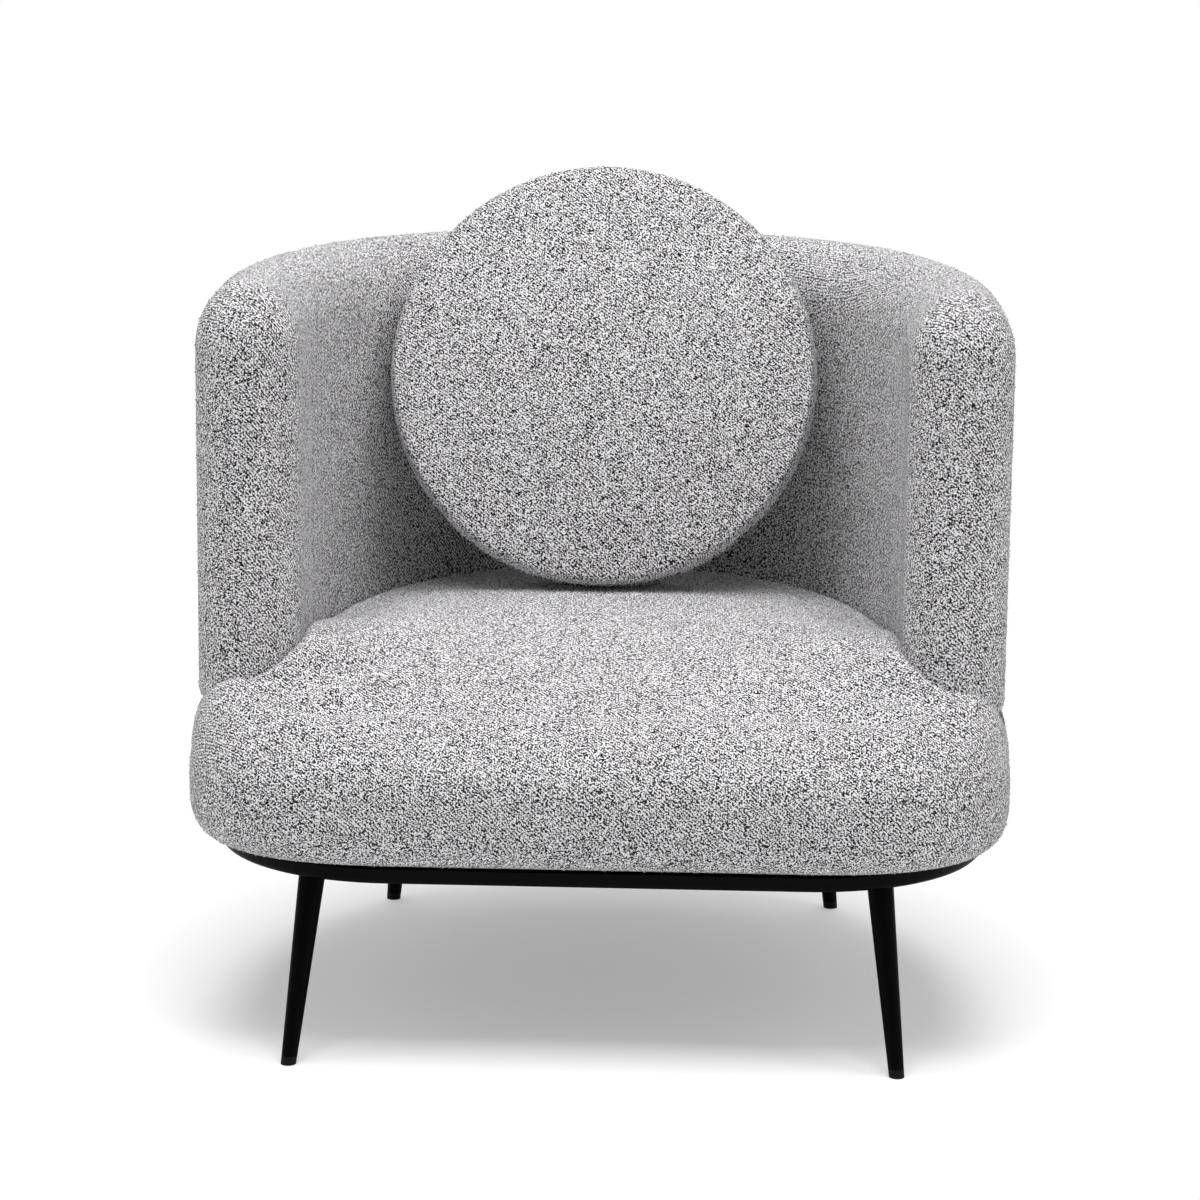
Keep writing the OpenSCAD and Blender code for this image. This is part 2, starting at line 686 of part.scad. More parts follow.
// Round cushion, in its own frame: axis along Z, front panel up, the cushion's top towards +Y
disc_r = disc_d / 2;
panel_r = (disc_r * disc_r + disc_crown * disc_crown) / (2 * disc_crown);
bulge_r = (pow(disc_gusset / 2, 2) + pow(gusset_bulge, 2)) / (2 * gusset_bulge);

module disc_section(e) {
  half_g = disc_gusset / 2 - e;
  intersection() {
    translate([0, disc_gusset / 2 + disc_crown - panel_r]) circle(panel_r - e, $fn = 720);
    translate([0, panel_r - disc_gusset / 2 - disc_crown]) circle(panel_r - e, $fn = 720);
    union() {
      translate([0, -half_g - disc_crown]) square([disc_r - e, 2 * (half_g + disc_crown)]);
      intersection() {
        translate([disc_r + gusset_bulge - bulge_r, 0]) circle(bulge_r - e);
        translate([disc_r - e, -half_g]) square([disc_r, 2 * half_g]);
      }
    }
  }
}

// Where the leaning cushion first meets the tub: the least room behind its rear seam and panel
lean_s = [0, sin(disc_lean), cos(disc_lean)];
lean_n = [0, -cos(disc_lean), sin(disc_lean)];
rear_centre = lean_n * (panel_r - disc_gusset / 2 - disc_crown);
disc_rise = disc_r * cos(disc_lean) + disc_gusset / 2 * sin(disc_lean);
disc_low_y = disc_r * sin(disc_lean) - disc_gusset / 2 * cos(disc_lean);
room_steps = 12;
function roll_half(z) = z > tub_top ? -1
  : z < roll_z ? wall_half : wall_half * sqrt(max(0, 1 - pow((z - roll_z) / roll_h, 2)));
function rear_point(share, t) =
  let (r = disc_r * share, s = sqrt(pow(panel_r, 2) - r * r))
  [abs(disc_x) + r * cos(t), 0, 0] + lean_s * r * sin(t) + rear_centre - lean_n * s;
function room(p, z) =
  let (w = roll_half(p.z + z))
  w < 0 ? far : inner_y(p.x, w) - p.y;
// The wall's inner line is cut in straight steps, which stand this much inside its arc
step_sag = back_r * (1 - cos((90 - turn_2) / back_steps / 2));
function leaning_y(z) = min([for (i = [1:room_steps]) for (k = [0:2 * room_steps])
  room(rear_point(i / room_steps, 90 * k / (2 * room_steps)), z)]) - step_sag - fit;
first_y = leaning_y(crown_z + disc_rise);
disc_z = seat_z(first_y - disc_low_y) + disc_rise + fit;
disc_y = leaning_y(disc_z);

module at_disc() translate([disc_x, disc_y, disc_z]) rotate([90 - disc_lean, 0, 0]) children();

// The zip lies in a slot through the gusset's cloth, at the bottom of the cushion
zip_t = cloth_t / 3;
zip_r = disc_r + gusset_bulge - cloth_t;
module zip_space()
  rotate([0, 0, -90 - zip_turn / 2]) rotate_extrude(angle = zip_turn)
    translate([zip_r - over, -zip_w / 2 - fit]) square([cloth_t + 2 * over, zip_w + 2 * fit]);

module disc_cover() color("#ababad") at_disc() difference() {
  rotate_extrude() intersection() {
    disc_section(0);
    translate([0, -far]) square([far, 2 * far]);
  }
  rotate_extrude() intersection() {
    disc_section(cloth_t);
    translate([0, -far]) square([far, 2 * far]);
  }
  zip_space();
}
module disc_insert() color("#f0ede2") at_disc() rotate_extrude() intersection() {
  disc_section(cloth_t + fit);
  translate([0, -far]) square([far, 2 * far]);
}
zip_end_turn = 1;
module zip_tape() color("#77777a") at_disc()
  rotate([0, 0, -90 - zip_turn / 2 + zip_end_turn]) rotate_extrude(angle = zip_turn - 2 * zip_end_turn)
    translate([zip_r, -zip_w / 2]) square([zip_t, zip_w]);

// The slider rides just outside the tape, with its pull laid along the zip
slider_l = 9;
slider_w = 7;
slider_h = 1.8;
slider_turn = 5;
module zip_slider() color("#8d8d90") at_disc() rotate([0, 0, -90 - zip_turn / 2 + slider_turn])
  translate([zip_r + zip_t + fit, 0, 0]) {
    translate([0, -slider_l / 2, -slider_w / 2]) cube([slider_h, slider_l, slider_w]);
    translate([slider_h, -slider_l / 4, -slider_w / 6]) cube([slider_h / 2, 2 * slider_l, slider_w / 3]);
  }

leg_front_left();
leg_front_right();
leg_rear_left();
leg_rear_right();
foot_glides();
leg_studs();
leg_inserts();
plinth();
plinth_screws();
front_rail();
corner_rail_left();
corner_rail_right();
side_rail_left();
side_rail_right();
back_rail();
joint_blocks();
arm_blocks();
spring_rail();
seat_springs();
spring_clips();
spring_pad();
seat_foam();
border_foam();
seat_cover();
tub_base_plate();
tub_top_plate();
tub_posts();
arm_posts();
tub_inner_board();
tub_outer_board();
tub_padding();
tub_cover();
tub_bolts();
tub_washers();
disc_insert();
disc_cover();
zip_tape();
zip_slider();
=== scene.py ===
"""Tub chair with a loose round back cushion: upholstery, finishes, lights and camera.

Lengths are in metres, in the chair's own frame: +Z up and the front towards -Y.
"""

import json
import logging
import math
from dataclasses import dataclass
from enum import Enum
from typing import Callable, Sequence, Union

import bmesh
import bpy
import numpy as np
from mathutils import Matrix, Quaternion, Vector
from mathutils.kdtree import KDTree


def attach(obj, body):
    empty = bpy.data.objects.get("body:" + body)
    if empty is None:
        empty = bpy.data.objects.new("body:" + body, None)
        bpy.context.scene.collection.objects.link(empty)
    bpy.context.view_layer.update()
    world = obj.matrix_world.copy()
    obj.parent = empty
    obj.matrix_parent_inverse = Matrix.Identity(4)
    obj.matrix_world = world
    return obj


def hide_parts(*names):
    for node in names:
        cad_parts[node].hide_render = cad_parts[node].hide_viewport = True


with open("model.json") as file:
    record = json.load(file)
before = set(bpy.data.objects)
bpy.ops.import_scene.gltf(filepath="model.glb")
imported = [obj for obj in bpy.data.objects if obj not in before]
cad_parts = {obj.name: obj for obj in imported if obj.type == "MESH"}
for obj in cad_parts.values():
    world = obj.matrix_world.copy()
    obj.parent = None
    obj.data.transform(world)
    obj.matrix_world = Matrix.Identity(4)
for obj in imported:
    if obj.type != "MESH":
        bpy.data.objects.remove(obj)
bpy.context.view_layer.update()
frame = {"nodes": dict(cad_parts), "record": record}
LOG = logging.getLogger("tub_chair")

Colour = tuple[float, float, float]
Number = Union[int, float]
WHITE: Colour = (1.0, 1.0, 1.0)
FLIP = np.array([-1.0, 1.0])


def rgba(colour: Colour) -> tuple[float, float, float, float]:
    """Colour with an alpha of one."""
    return (*colour, 1.0)


# ---------------------------------------------------------------- shader maths


class Flow:
    """An output socket that takes part in Python expressions on numbers."""

    def __init__(self, graph: "Graph", socket: bpy.types.NodeSocket) -> None:
        """Wraps a socket of a tree."""
        self.graph = graph
        self.socket = socket

    def math(self, operation: str, *values: Union["Flow", Number]) -> "Flow":
        """Result of a Math node with the operation and its inputs in order."""
        return self.graph.flow("ShaderNodeMath", {"operation": operation}, dict(enumerate(values)))

    def __add__(self, other: Union["Flow", Number]) -> "Flow":
        """Sum."""
        return self.math("ADD", self, other)

    def __radd__(self, other: Number) -> "Flow":
        """Sum with a number in front."""
        return self.math("ADD", other, self)

    def __sub__(self, other: Union["Flow", Number]) -> "Flow":
        """Difference."""
        return self.math("SUBTRACT", self, other)

    def __rsub__(self, other: Number) -> "Flow":
        """Difference from a number."""
        return self.math("SUBTRACT", other, self)

    def __mul__(self, other: Union["Flow", Number]) -> "Flow":
        """Product."""
        return self.math("MULTIPLY", self, other)

    def __rmul__(self, other: Number) -> "Flow":
        """Product with a number in front."""
        return self.math("MULTIPLY", other, self)

    def step(self, low: float, high: float) -> "Flow":
        """Smooth step from 0 to 1 between two values."""
        settings = {"interpolation_type": "SMOOTHSTEP"}
        return self.graph.flow("ShaderNodeMapRange", settings, {0: self, 1: low, 2: high})


class Graph:
    """A node tree while it is built."""

    def __init__(self, tree: bpy.types.NodeTree) -> None:
        """Starts with an empty tree."""
        self.tree = tree
        self.tree.nodes.clear()

    def node(self, kind: str, settings: dict, inputs: dict) -> bpy.types.Node:
        """Adds a node.

        Args:
            kind: The node's type.
            settings: Its properties, set first; "stops" fills a ramp.
            inputs: Values or flows by socket name or number.

        Returns:
            The node.
        """
        node = self.tree.nodes.new(kind)
        for key, value in settings.items():
            if key == "stops":
                self._fill_ramp(node.color_ramp, value)
            else:
                setattr(node, key, value)
        for key, value in inputs.items():
            if isinstance(value, Flow):
                self.tree.links.new(value.socket, node.inputs[key])
            else:
                node.inputs[key].default_value = value
        return node

    @staticmethod
    def _fill_ramp(ramp: bpy.types.ColorRamp, stops: Sequence[tuple[float, Colour]]) -> None:
        """Sets a ramp's stops.

        Args:
            ramp: The ramp.
            stops: Places along it and their colours.
        """
        while len(ramp.elements) < len(stops):
            ramp.elements.new(1.0)
        for element, (place, colour) in zip(ramp.elements, stops):
            element.position = place
            element.color = rgba(colour)

    def flow(self, kind: str, settings: dict, inputs: dict, output: Union[int, str] = 0) -> Flow:
        """Adds a node and returns the named or numbered one of its outputs."""
        return Flow(self, self.node(kind, settings, inputs).outputs[output])


@dataclass(frozen=True)
class Speckle:
    """Noise: its scale, its octaves and how strong each one is against the last."""

    scale: float
    octaves: float
    rough: float


class Shader(Graph):
    """A material's node tree while it is built."""

    def __init__(self, name: str) -> None:
        """Starts a material with an empty tree."""
        self.material = bpy.data.materials.new(name)
        self.material.use_nodes = True
        super().__init__(self.material.node_tree)

    def place(self, scale: Sequence[float] = (1.0, 1.0, 1.0)) -> Flow:
        """Object coordinates, scaled on each axis."""
        here = self.flow("ShaderNodeTexCoord", {}, {}, "Object")
        return self.flow("ShaderNodeMapping", {"vector_type": "POINT"}, {0: here, 3: tuple(scale)})

    def noise(self, where: Flow, speckle: Speckle, output: str = "Fac") -> Flow:
        """Noise texture at coordinates.

        Args:
            where: The coordinates.
            speckle: The noise.
            output: Fac or Color.

        Returns:
            The noise.
        """
        inputs = {"Vector": where, "Scale": speckle.scale}
        inputs.update({"Detail": speckle.octaves, "Roughness": speckle.rough})
        return self.flow("ShaderNodeTexNoise", {}, inputs, output)

    def along(self, where: Flow, way: Sequence[float]) -> Flow:
        """How far a vector reaches along a way."""
        settings = {"operation": "DOT_PRODUCT"}
        return self.flow("ShaderNodeVectorMath", settings, {0: where, 1: tuple(way)}, 1)

    def mix(self, share: Flow, low: Colour, high: Colour) -> Flow:
        """Mix of two colours by the share of the second."""
        inputs = {0: share, 6: rgba(low), 7: rgba(high)}
        return self.flow("ShaderNodeMix", {"data_type": "RGBA"}, inputs, 2)

    def bump(self, height: Flow, distance: float, strength: float) -> Flow:
        """Normal bent by a height between 0 and 1, over a depth in metres."""
        inputs = {"Strength": strength, "Distance": distance, "Height": height}
        return self.flow("ShaderNodeBump", {}, inputs)

    def finish(self, inputs: dict) -> bpy.types.Material:
        """Closes the tree with a Principled shader.

        Args:
            inputs: Values or flows by socket name.

        Returns:
            The material.
        """
        shader = self.flow("ShaderNodeBsdfPrincipled", {}, inputs)
        self.node("ShaderNodeOutputMaterial", {}, {"Surface": shader})
        return self.material


# -------------------------------------------------------------------- finishes


@dataclass(frozen=True)
class Finish:
    """A surface of the chair; each kind of it gives its shader's sockets."""

    def sockets(self, shader: Shader) -> dict:
        """Values and flows of the Principled shader by socket name."""
        raise NotImplementedError

    def build(self, name: str) -> bpy.types.Material:
        """Builds the finish's material under a name."""
        shader = Shader(name)
        return shader.finish(self.sockets(shader))


class Slant(Enum):
    """Way in which a wave of the weave runs through space."""

    ROW = (1, 1, 1)
    STEP = (1, -1, -1)


@dataclass(frozen=True)
class Boucle(Finish):
    """Salt and pepper cloth: light looped yarns in slanting rows; the dark between them is partly
    dark yarn and partly painted shade in the gaps between the loops.
    """

    light: Colour = (0.985, 0.964, 0.99)
    middle: Colour = (0.424, 0.414, 0.428)
    # near-black: partly dark yarn, partly painted shade in the gaps between the loops
    dark: Colour = (0.007, 0.0067, 0.0075)
    stops: tuple[float, float, float] = (0.418, 0.502, 0.582)
    row: float = 0.0032
    loop: float = 0.00155
    relief: float = 0.0006
    patch: Speckle = Speckle(30.0, 2.0, 0.5)
    loop_share: float = 2.2
    row_share: float = 0.13
    knot_share: float = 0.09
    patch_share: float = 0.05
    sway_share: float = 0.9
    sway_loops: float = 5.0
    facing_fade: tuple[float, float] = (0.35, 0.7)
    roughness: float = 0.92
    shine: float = 0.15
    sheen: float = 0.12

    def sockets(self, shader: Shader) -> dict:
        """Sockets of the cloth.

        Args:
            shader: The tree that they are made in.

        Returns:
            Values and flows by socket name.
        """
        spot = shader.place()
        drift = shader.noise(spot, Speckle(1 / (self.sway_loops * self.loop), 1.0, 0.5), "Color")
        sway = {0: drift, 1: (self.row * self.sway_share,) * 3, 2: spot}
        where = shader.flow("ShaderNodeVectorMath", {"operation": "MULTIPLY_ADD"}, sway)
        rows = self.wave(shader, where, Slant.ROW)
        steps = self.wave(shader, where, Slant.STEP)
        fibre = shader.noise(where, Speckle(1 / self.loop, 1.0, 0.6))
        middle = (self.loop_share + self.patch_share - 1) / 2
        patch = shader.noise(spot, self.patch) * self.patch_share
        grain = fibre * self.loop_share + patch
        # the low end of the tone takes the near-black colour: some dark yarn and painted shade
        # between the loops
        tone = grain + rows * (self.row_share + steps * self.knot_share) - middle
        stops = tuple(zip(self.stops, (self.dark, self.middle, self.light)))
        return {
            "Base Color": shader.flow("ShaderNodeValToRGB", {"stops": stops}, {0: tone}),
            "Roughness": self.roughness,
            "Specular IOR Level": self.shine,
            "Sheen Weight": self.sheen,
            "Sheen Roughness": 0.5,
            "Normal": shader.bump(tone, self.relief, 0.7),
        }

    def wave(self, shader: Shader, where: Flow, slant: Slant) -> Flow:
        """Plane wave through the cloth, faded where the surface faces along it.

        Args:
            shader: The tree that it is made in.
            where: Coordinates.
            slant: The way it runs.

        Returns:
            The wave, between -1 and 1.
        """
        pace = tuple(math.tau / self.row / math.sqrt(2) * way for way in slant.value)
        phase = shader.along(where, pace)
        out = shader.flow("ShaderNodeTexCoord", {}, {}, "Normal")
        facing = shader.along(out, tuple(way / math.sqrt(3) for way in slant.value))
        return phase.math("SINE", phase) * (1 - (facing * facing).step(*self.facing_fade))


@dataclass(frozen=True)
class Coat(Finish):
    """Powder coat, lacquer or moulded plastic: one colour with a fine skin over it."""

    colour: Colour
    roughness: float
    grain: float = 700.0
    relief: float = 0.00008
    coat: float = 0.0
    shine: float = 0.5
    cloud: Speckle = Speckle(22.0, 3.0, 0.6)
    cloud_step: tuple[float, float] = (0.35, 0.75)
    lighter_share: float = 1.5
    swing: float = 0.12
    skin_roughness: float = 0.12

    def sockets(self, shader: Shader) -> dict:
        """Sockets of the coat.

        Args:
            shader: The tree that they are made in.

        Returns:
            Values and flows by socket name.
        """
        spot = shader.place()
        peel = shader.noise(spot, Speckle(self.grain, 2.0, 0.5))
        cloud = shader.noise(spot, self.cloud)
        lighter = tuple(min(1.0, c * self.lighter_share) for c in self.colour)
        return {
            "Base Color": shader.mix(cloud.step(*self.cloud_step), self.colour, lighter),
            "Roughness": self.roughness + cloud * self.swing - self.swing / 2,
            "Specular IOR Level": self.shine,
            "Coat Weight": self.coat,
            "Coat Roughness": self.skin_roughness,
            "Normal": shader.bump(peel, self.relief, 0.6),
        }


@dataclass(frozen=True)
class Metal(Finish):
    """Bare or plated metal with fine drawn or turned marks."""

    colour: Colour
    roughness: float
    marks: tuple[float, float, float] = (300.0, 300.0, 40.0)
    drawn: Speckle = Speckle(4.0, 3.0, 0.6)
    stain: Speckle = Speckle(60.0, 3.0, 0.6)
    stain_step: tuple[float, float] = (0.3, 0.7)
    relief: float = 0.00006
    duller_share: float = 0.72
    swing: float = 0.2

    def sockets(self, shader: Shader) -> dict:
        """Sockets of the metal.

        Args:
            shader: The tree that they are made in.

        Returns:
            Values and flows by socket name.
        """
        drawn = shader.noise(shader.place(self.marks), self.drawn)
        stain = shader.noise(shader.place(), self.stain)
        duller = tuple(c * self.duller_share for c in self.colour)
        return {
            "Base Color": shader.mix(stain.step(*self.stain_step), duller, self.colour),
            "Metallic": 1.0,
            "Roughness": self.roughness + drawn * self.swing - self.swing / 2,
            "Normal": shader.bump(drawn, self.relief, 0.5),
        }


@dataclass(frozen=True)
class Wood(Finish):
    """Bare wood or board: grain streaks, pores and slow changes of tone."""

    light: Colour
    dark: Colour
    stretch: tuple[float, float, float] = (6.0, 6.0, 90.0)
    roughness: float = 0.62
    grain: Speckle = Speckle(3.0, 6.0, 0.62)
    pores: Speckle = Speckle(5.0, 2.0, 0.5)
    shade: Speckle = Speckle(5.0, 2.0, 0.5)
    relief: float = 0.0003
    pore_times: float = 4.0
    grain_share: float = 1.1
    shade_share: float = 0.5
    tone_low: float = 0.3
    tone_step: tuple[float, float] = (0.2, 0.85)
    swing: float = 0.16

    def sockets(self, shader: Shader) -> dict:
        """Sockets of the wood.

        Args:
            shader: The tree that they are made in.

        Returns:
            Values and flows by socket name.
        """
        grain = shader.noise(shader.place(self.stretch), self.grain)
        finer = tuple(self.pore_times * s for s in self.stretch)
        pores = shader.noise(shader.place(finer), self.pores)
        shade = shader.noise(shader.place(), self.shade)
        tone = grain * self.grain_share + shade * self.shade_share - self.tone_low
        return {
            "Base Color": shader.mix(tone.step(*self.tone_step), self.dark, self.light),
            "Roughness": self.roughness + pores * self.swing - self.swing / 2,
            "Normal": shader.bump(pores * 0.5 + grain * 0.5, self.relief, 0.6),
        }


@dataclass(frozen=True)
class Fibre(Finish):
    """Felt, foam or zip cloth: small matted cells."""

    light: Colour
    dark: Colour
    cell: float = 0.0012
    relief: float = 0.0004
    cloud: Speckle = Speckle(60.0, 4.0, 0.7)
    cell_step: tuple[float, float] = (0.1, 0.8)
    cell_share: float = 0.6
    cloud_share: float = 0.5
    roughness: float = 0.95
    sheen: float = 0.1

    def sockets(self, shader: Shader) -> dict:
        """Sockets of the fibre.

        Args:
            shader: The tree that they are made in.

        Returns:
            Values and flows by socket name.
        """
        spot = shader.place()
        inputs = {"Vector": spot, "Scale": 1 / self.cell}
        cells = shader.flow("ShaderNodeTexVoronoi", {"feature": "F1"}, inputs)
        cloud = shader.noise(spot, self.cloud) * self.cloud_share
        tone = cells.step(*self.cell_step) * self.cell_share + cloud
        return {
            "Base Color": shader.mix(tone, self.dark, self.light),
            "Roughness": self.roughness,
            "Sheen Weight": self.sheen,
            "Normal": shader.bump(1 - cells, self.relief, 0.7),
        }


FINISHES: dict[str, Finish] = {
    "leg_steel": Coat((0.0012, 0.0012, 0.0013), 0.42, 900.0, 0.00006, 0.0, 0.05),
    "glide_plastic": Coat((0.003, 0.003, 0.003), 0.55, 500.0, 0.00008, 0.0, 0.2),
    "plinth_paint": Coat((0.001, 0.001, 0.0011), 0.36, 420.0, 0.00005, 0.0, 0.06),
    "zinc_steel": Metal((0.6, 0.61, 0.62), 0.34),
    "insert_brass": Metal((0.72, 0.53, 0.24), 0.3),
    "spring_steel": Metal((0.3, 0.31, 0.33), 0.38, (60.0, 60.0, 60.0)),
    "rail_wood": Wood((0.66, 0.47, 0.28), (0.44, 0.28, 0.14)),
    "block_wood": Wood((0.6, 0.43, 0.25), (0.38, 0.24, 0.12), (60.0, 8.0, 8.0)),
    "plywood": Wood((0.68, 0.5, 0.31), (0.48, 0.32, 0.17), (8.0, 40.0, 90.0)),
    "hardboard": Wood((0.32, 0.2, 0.11), (0.2, 0.11, 0.05), (40.0, 40.0, 40.0), 0.7),
    "felt": Fibre((0.36, 0.33, 0.28), (0.12, 0.1, 0.08), 0.0011, 0.0005),
    "foam": Fibre((0.86, 0.81, 0.62), (0.6, 0.54, 0.36), 0.0016, 0.0005),
    "boucle": Boucle(),
    "zip_cloth": Fibre((0.3, 0.3, 0.31), (0.07, 0.07, 0.075), 0.0009, 0.0004),
    "zip_metal": Coat((0.16, 0.16, 0.17), 0.36, 600.0, 0.00004, 0.1),
}


class Finishes:
    """Every finish of the record, built once, and put on the CAD nodes that stay."""

    def __init__(self) -> None:
        """Builds one material for each slot."""
        self.by_slot = {slot: finish.build(slot) for slot, finish in FINISHES.items()}

    def dress_nodes(self) -> None:
        """Gives each CAD node the material of its slot."""
        for row in frame["record"]["subparts"]:
            node = frame["nodes"][row["node"]]
            for place in node.material_slots:
                place.material = self.by_slot[row["material_slot"]]

    def dress(self, piece: bpy.types.Object, slot: str) -> None:
        """Gives a new piece the finish of a slot.

        Args:
            piece: The piece.
            slot: The slot of its finish.
        """
        piece.data.materials.clear()
        piece.data.materials.append(self.by_slot[slot])


# ------------------------------------------------------------------ mesh tools


def linked(name: str, data: bpy.types.ID) -> bpy.types.Object:
    """Puts data in the scene as an object.

    Args:
        name: The object's name.
        data: Its mesh, camera or lamp.

    Returns:
        The object.
    """
    item = bpy.data.objects.new(name, data)
    bpy.context.scene.collection.objects.link(item)
    return item


def skin(name: str, rows: Sequence[np.ndarray]) -> bpy.types.Object:
    """Makes a smooth mesh from rings of points.

    Args:
        name: The piece's name.
        rows: Rings of the same number of points; a ring may close to one point.

    Returns:
        The mesh object, with doubles merged and faces turned outwards.
    """
    count = len(rows[0])
    faces = [
        (k + i, k + (i + 1) % count, k + count + (i + 1) % count, k + count + i)
        for k in range(0, (len(rows) - 1) * count, count)
        for i in range(count)
    ]
    mesh = bpy.data.meshes.new(name)
    mesh.from_pydata(np.concatenate(rows).tolist(), [], faces)
    return finished(name, mesh)


def finished(name: str, mesh: bpy.types.Mesh, merge: float = 1e-5) -> bpy.types.Object:
    """Merges doubles, turns faces outwards, and links the mesh as a smooth object.

    Args:
        name: The object's name.
        mesh: Its mesh.
        merge: Distance under which points merge.

    Returns:
        The object.
    """
    work = bmesh.new()
    work.from_mesh(mesh)
    bmesh.ops.remove_doubles(work, verts=work.verts, dist=merge)
    bmesh.ops.dissolve_degenerate(work, edges=work.edges, dist=merge)
    bmesh.ops.recalc_face_normals(work, faces=work.faces)
    for face in work.faces:
        face.smooth = True
    work.to_mesh(mesh)
    work.free()
    return linked(name, mesh)


def direction(turn: float) -> np.ndarray:
    """Unit vector in plan at a turn from +X, in radians."""
    return np.array([math.cos(turn), math.sin(turn)])


def stretch(start: float, end: float, step: float) -> np.ndarray:
    """Even values from start up to, and without, end."""
    return np.linspace(start, end, max(2, round(abs(end - start) / step) + 1))[:-1]


class Recipe(Graph):
    """A Geometry Nodes group with named inputs while it is built."""

    SOCKETS = {float: "NodeSocketFloat", int: "NodeSocketInt"}

    def __init__(self, name: str, inputs: dict[str, Number]) -> None:
        """Starts a group with a geometry input and the named ones.

        Args:
            name: The group's name.
            inputs: The named inputs and their defaults.
        """
        group = bpy.data.node_groups.new(name, "GeometryNodeTree")
        super().__init__(group)
        sockets = group.interface
        for way in ("INPUT", "OUTPUT"):
            sockets.new_socket("Geometry", in_out=way, socket_type="NodeSocketGeometry")
        for key, value in inputs.items():
            kind = self.SOCKETS[type(value)]
            sockets.new_socket(key, in_out="INPUT", socket_type=kind).default_value = value
        self.inputs = inputs
        self.start = self.node("NodeGroupInput", {}, {})

    def given(self, name: str) -> Flow:
        """One of the group's inputs."""
        return Flow(self, self.start.outputs[name])

    def chance(self, low: float, high: float, seed: Flow) -> Flow:
        """Random value for each point between two values."""
        inputs = {2: low, 3: high, 8: seed}
        return self.flow("FunctionNodeRandomValue", {"data_type": "FLOAT"}, inputs, 1)

    def circle(self, points: int, radius: str) -> Flow:
        """Circle of a few points with the radius of a named input."""
        inputs = {"Resolution": points, "Radius": self.given(radius)}
        return self.flow("GeometryNodeCurvePrimitiveCircle", {}, inputs)

    def tube(self, path: Flow, section: Flow, turn: Sequence[float]) -> Flow:
        """Section swept along a path, and turned."""
        shape = self.flow("GeometryNodeCurveToMesh", {}, {0: path, 1: section})
        return self.flow("GeometryNodeTransform", {}, {"Geometry": shape, "Rotation": tuple(turn)})

    def spread(
        self,
        points: Flow,
        shape: Flow,
        turn: Flow,
        size: Union[Flow, float],
        material: bpy.types.Material,
    ) -> None:
        """Puts a shape on each point, makes it real and closes the group.

        Args:
            points: The points.
            shape: The shape that repeats.
            turn: Rotation of each one.
            size: Scale of each one.
            material: Its finish.
        """
        inputs = {"Points": points, "Instance": shape, "Rotation": turn, "Scale": size}
        if not isinstance(size, Flow):
            inputs["Scale"] = (size,) * 3
        many = self.flow("GeometryNodeInstanceOnPoints", {}, inputs)
        real = self.flow("GeometryNodeRealizeInstances", {}, {"Geometry": many})
        done = self.flow("GeometryNodeSetMaterial", {}, {"Geometry": real, "Material": material})
        self.node("NodeGroupOutput", {}, {0: done})

    def cook(
        self, name: str, host: bpy.types.Object, values: dict[str, Number]
    ) -> bpy.types.Object:
        """Runs the group on a host mesh and keeps the result as one mesh.

        Args:
            name: Name of the new object.
            host: The object whose mesh goes in.
            values: Values of the named inputs that differ from their defaults.

        Returns:
            The new object.
        """
        modifier = host.modifiers.new(name, "NODES")
        modifier.node_group = self.tree
        for item in self.tree.interface.items_tree:
            if item.in_out == "INPUT" and item.name in self.inputs:
                modifier[item.identifier] = values.get(item.name, self.inputs[item.name])
        graph = bpy.context.evaluated_depsgraph_get()
        mesh = bpy.data.meshes.new_from_object(host.evaluated_get(graph))
        host.modifiers.remove(modifier)
        mesh.name = name
        return finished(name, mesh, 1e-7)


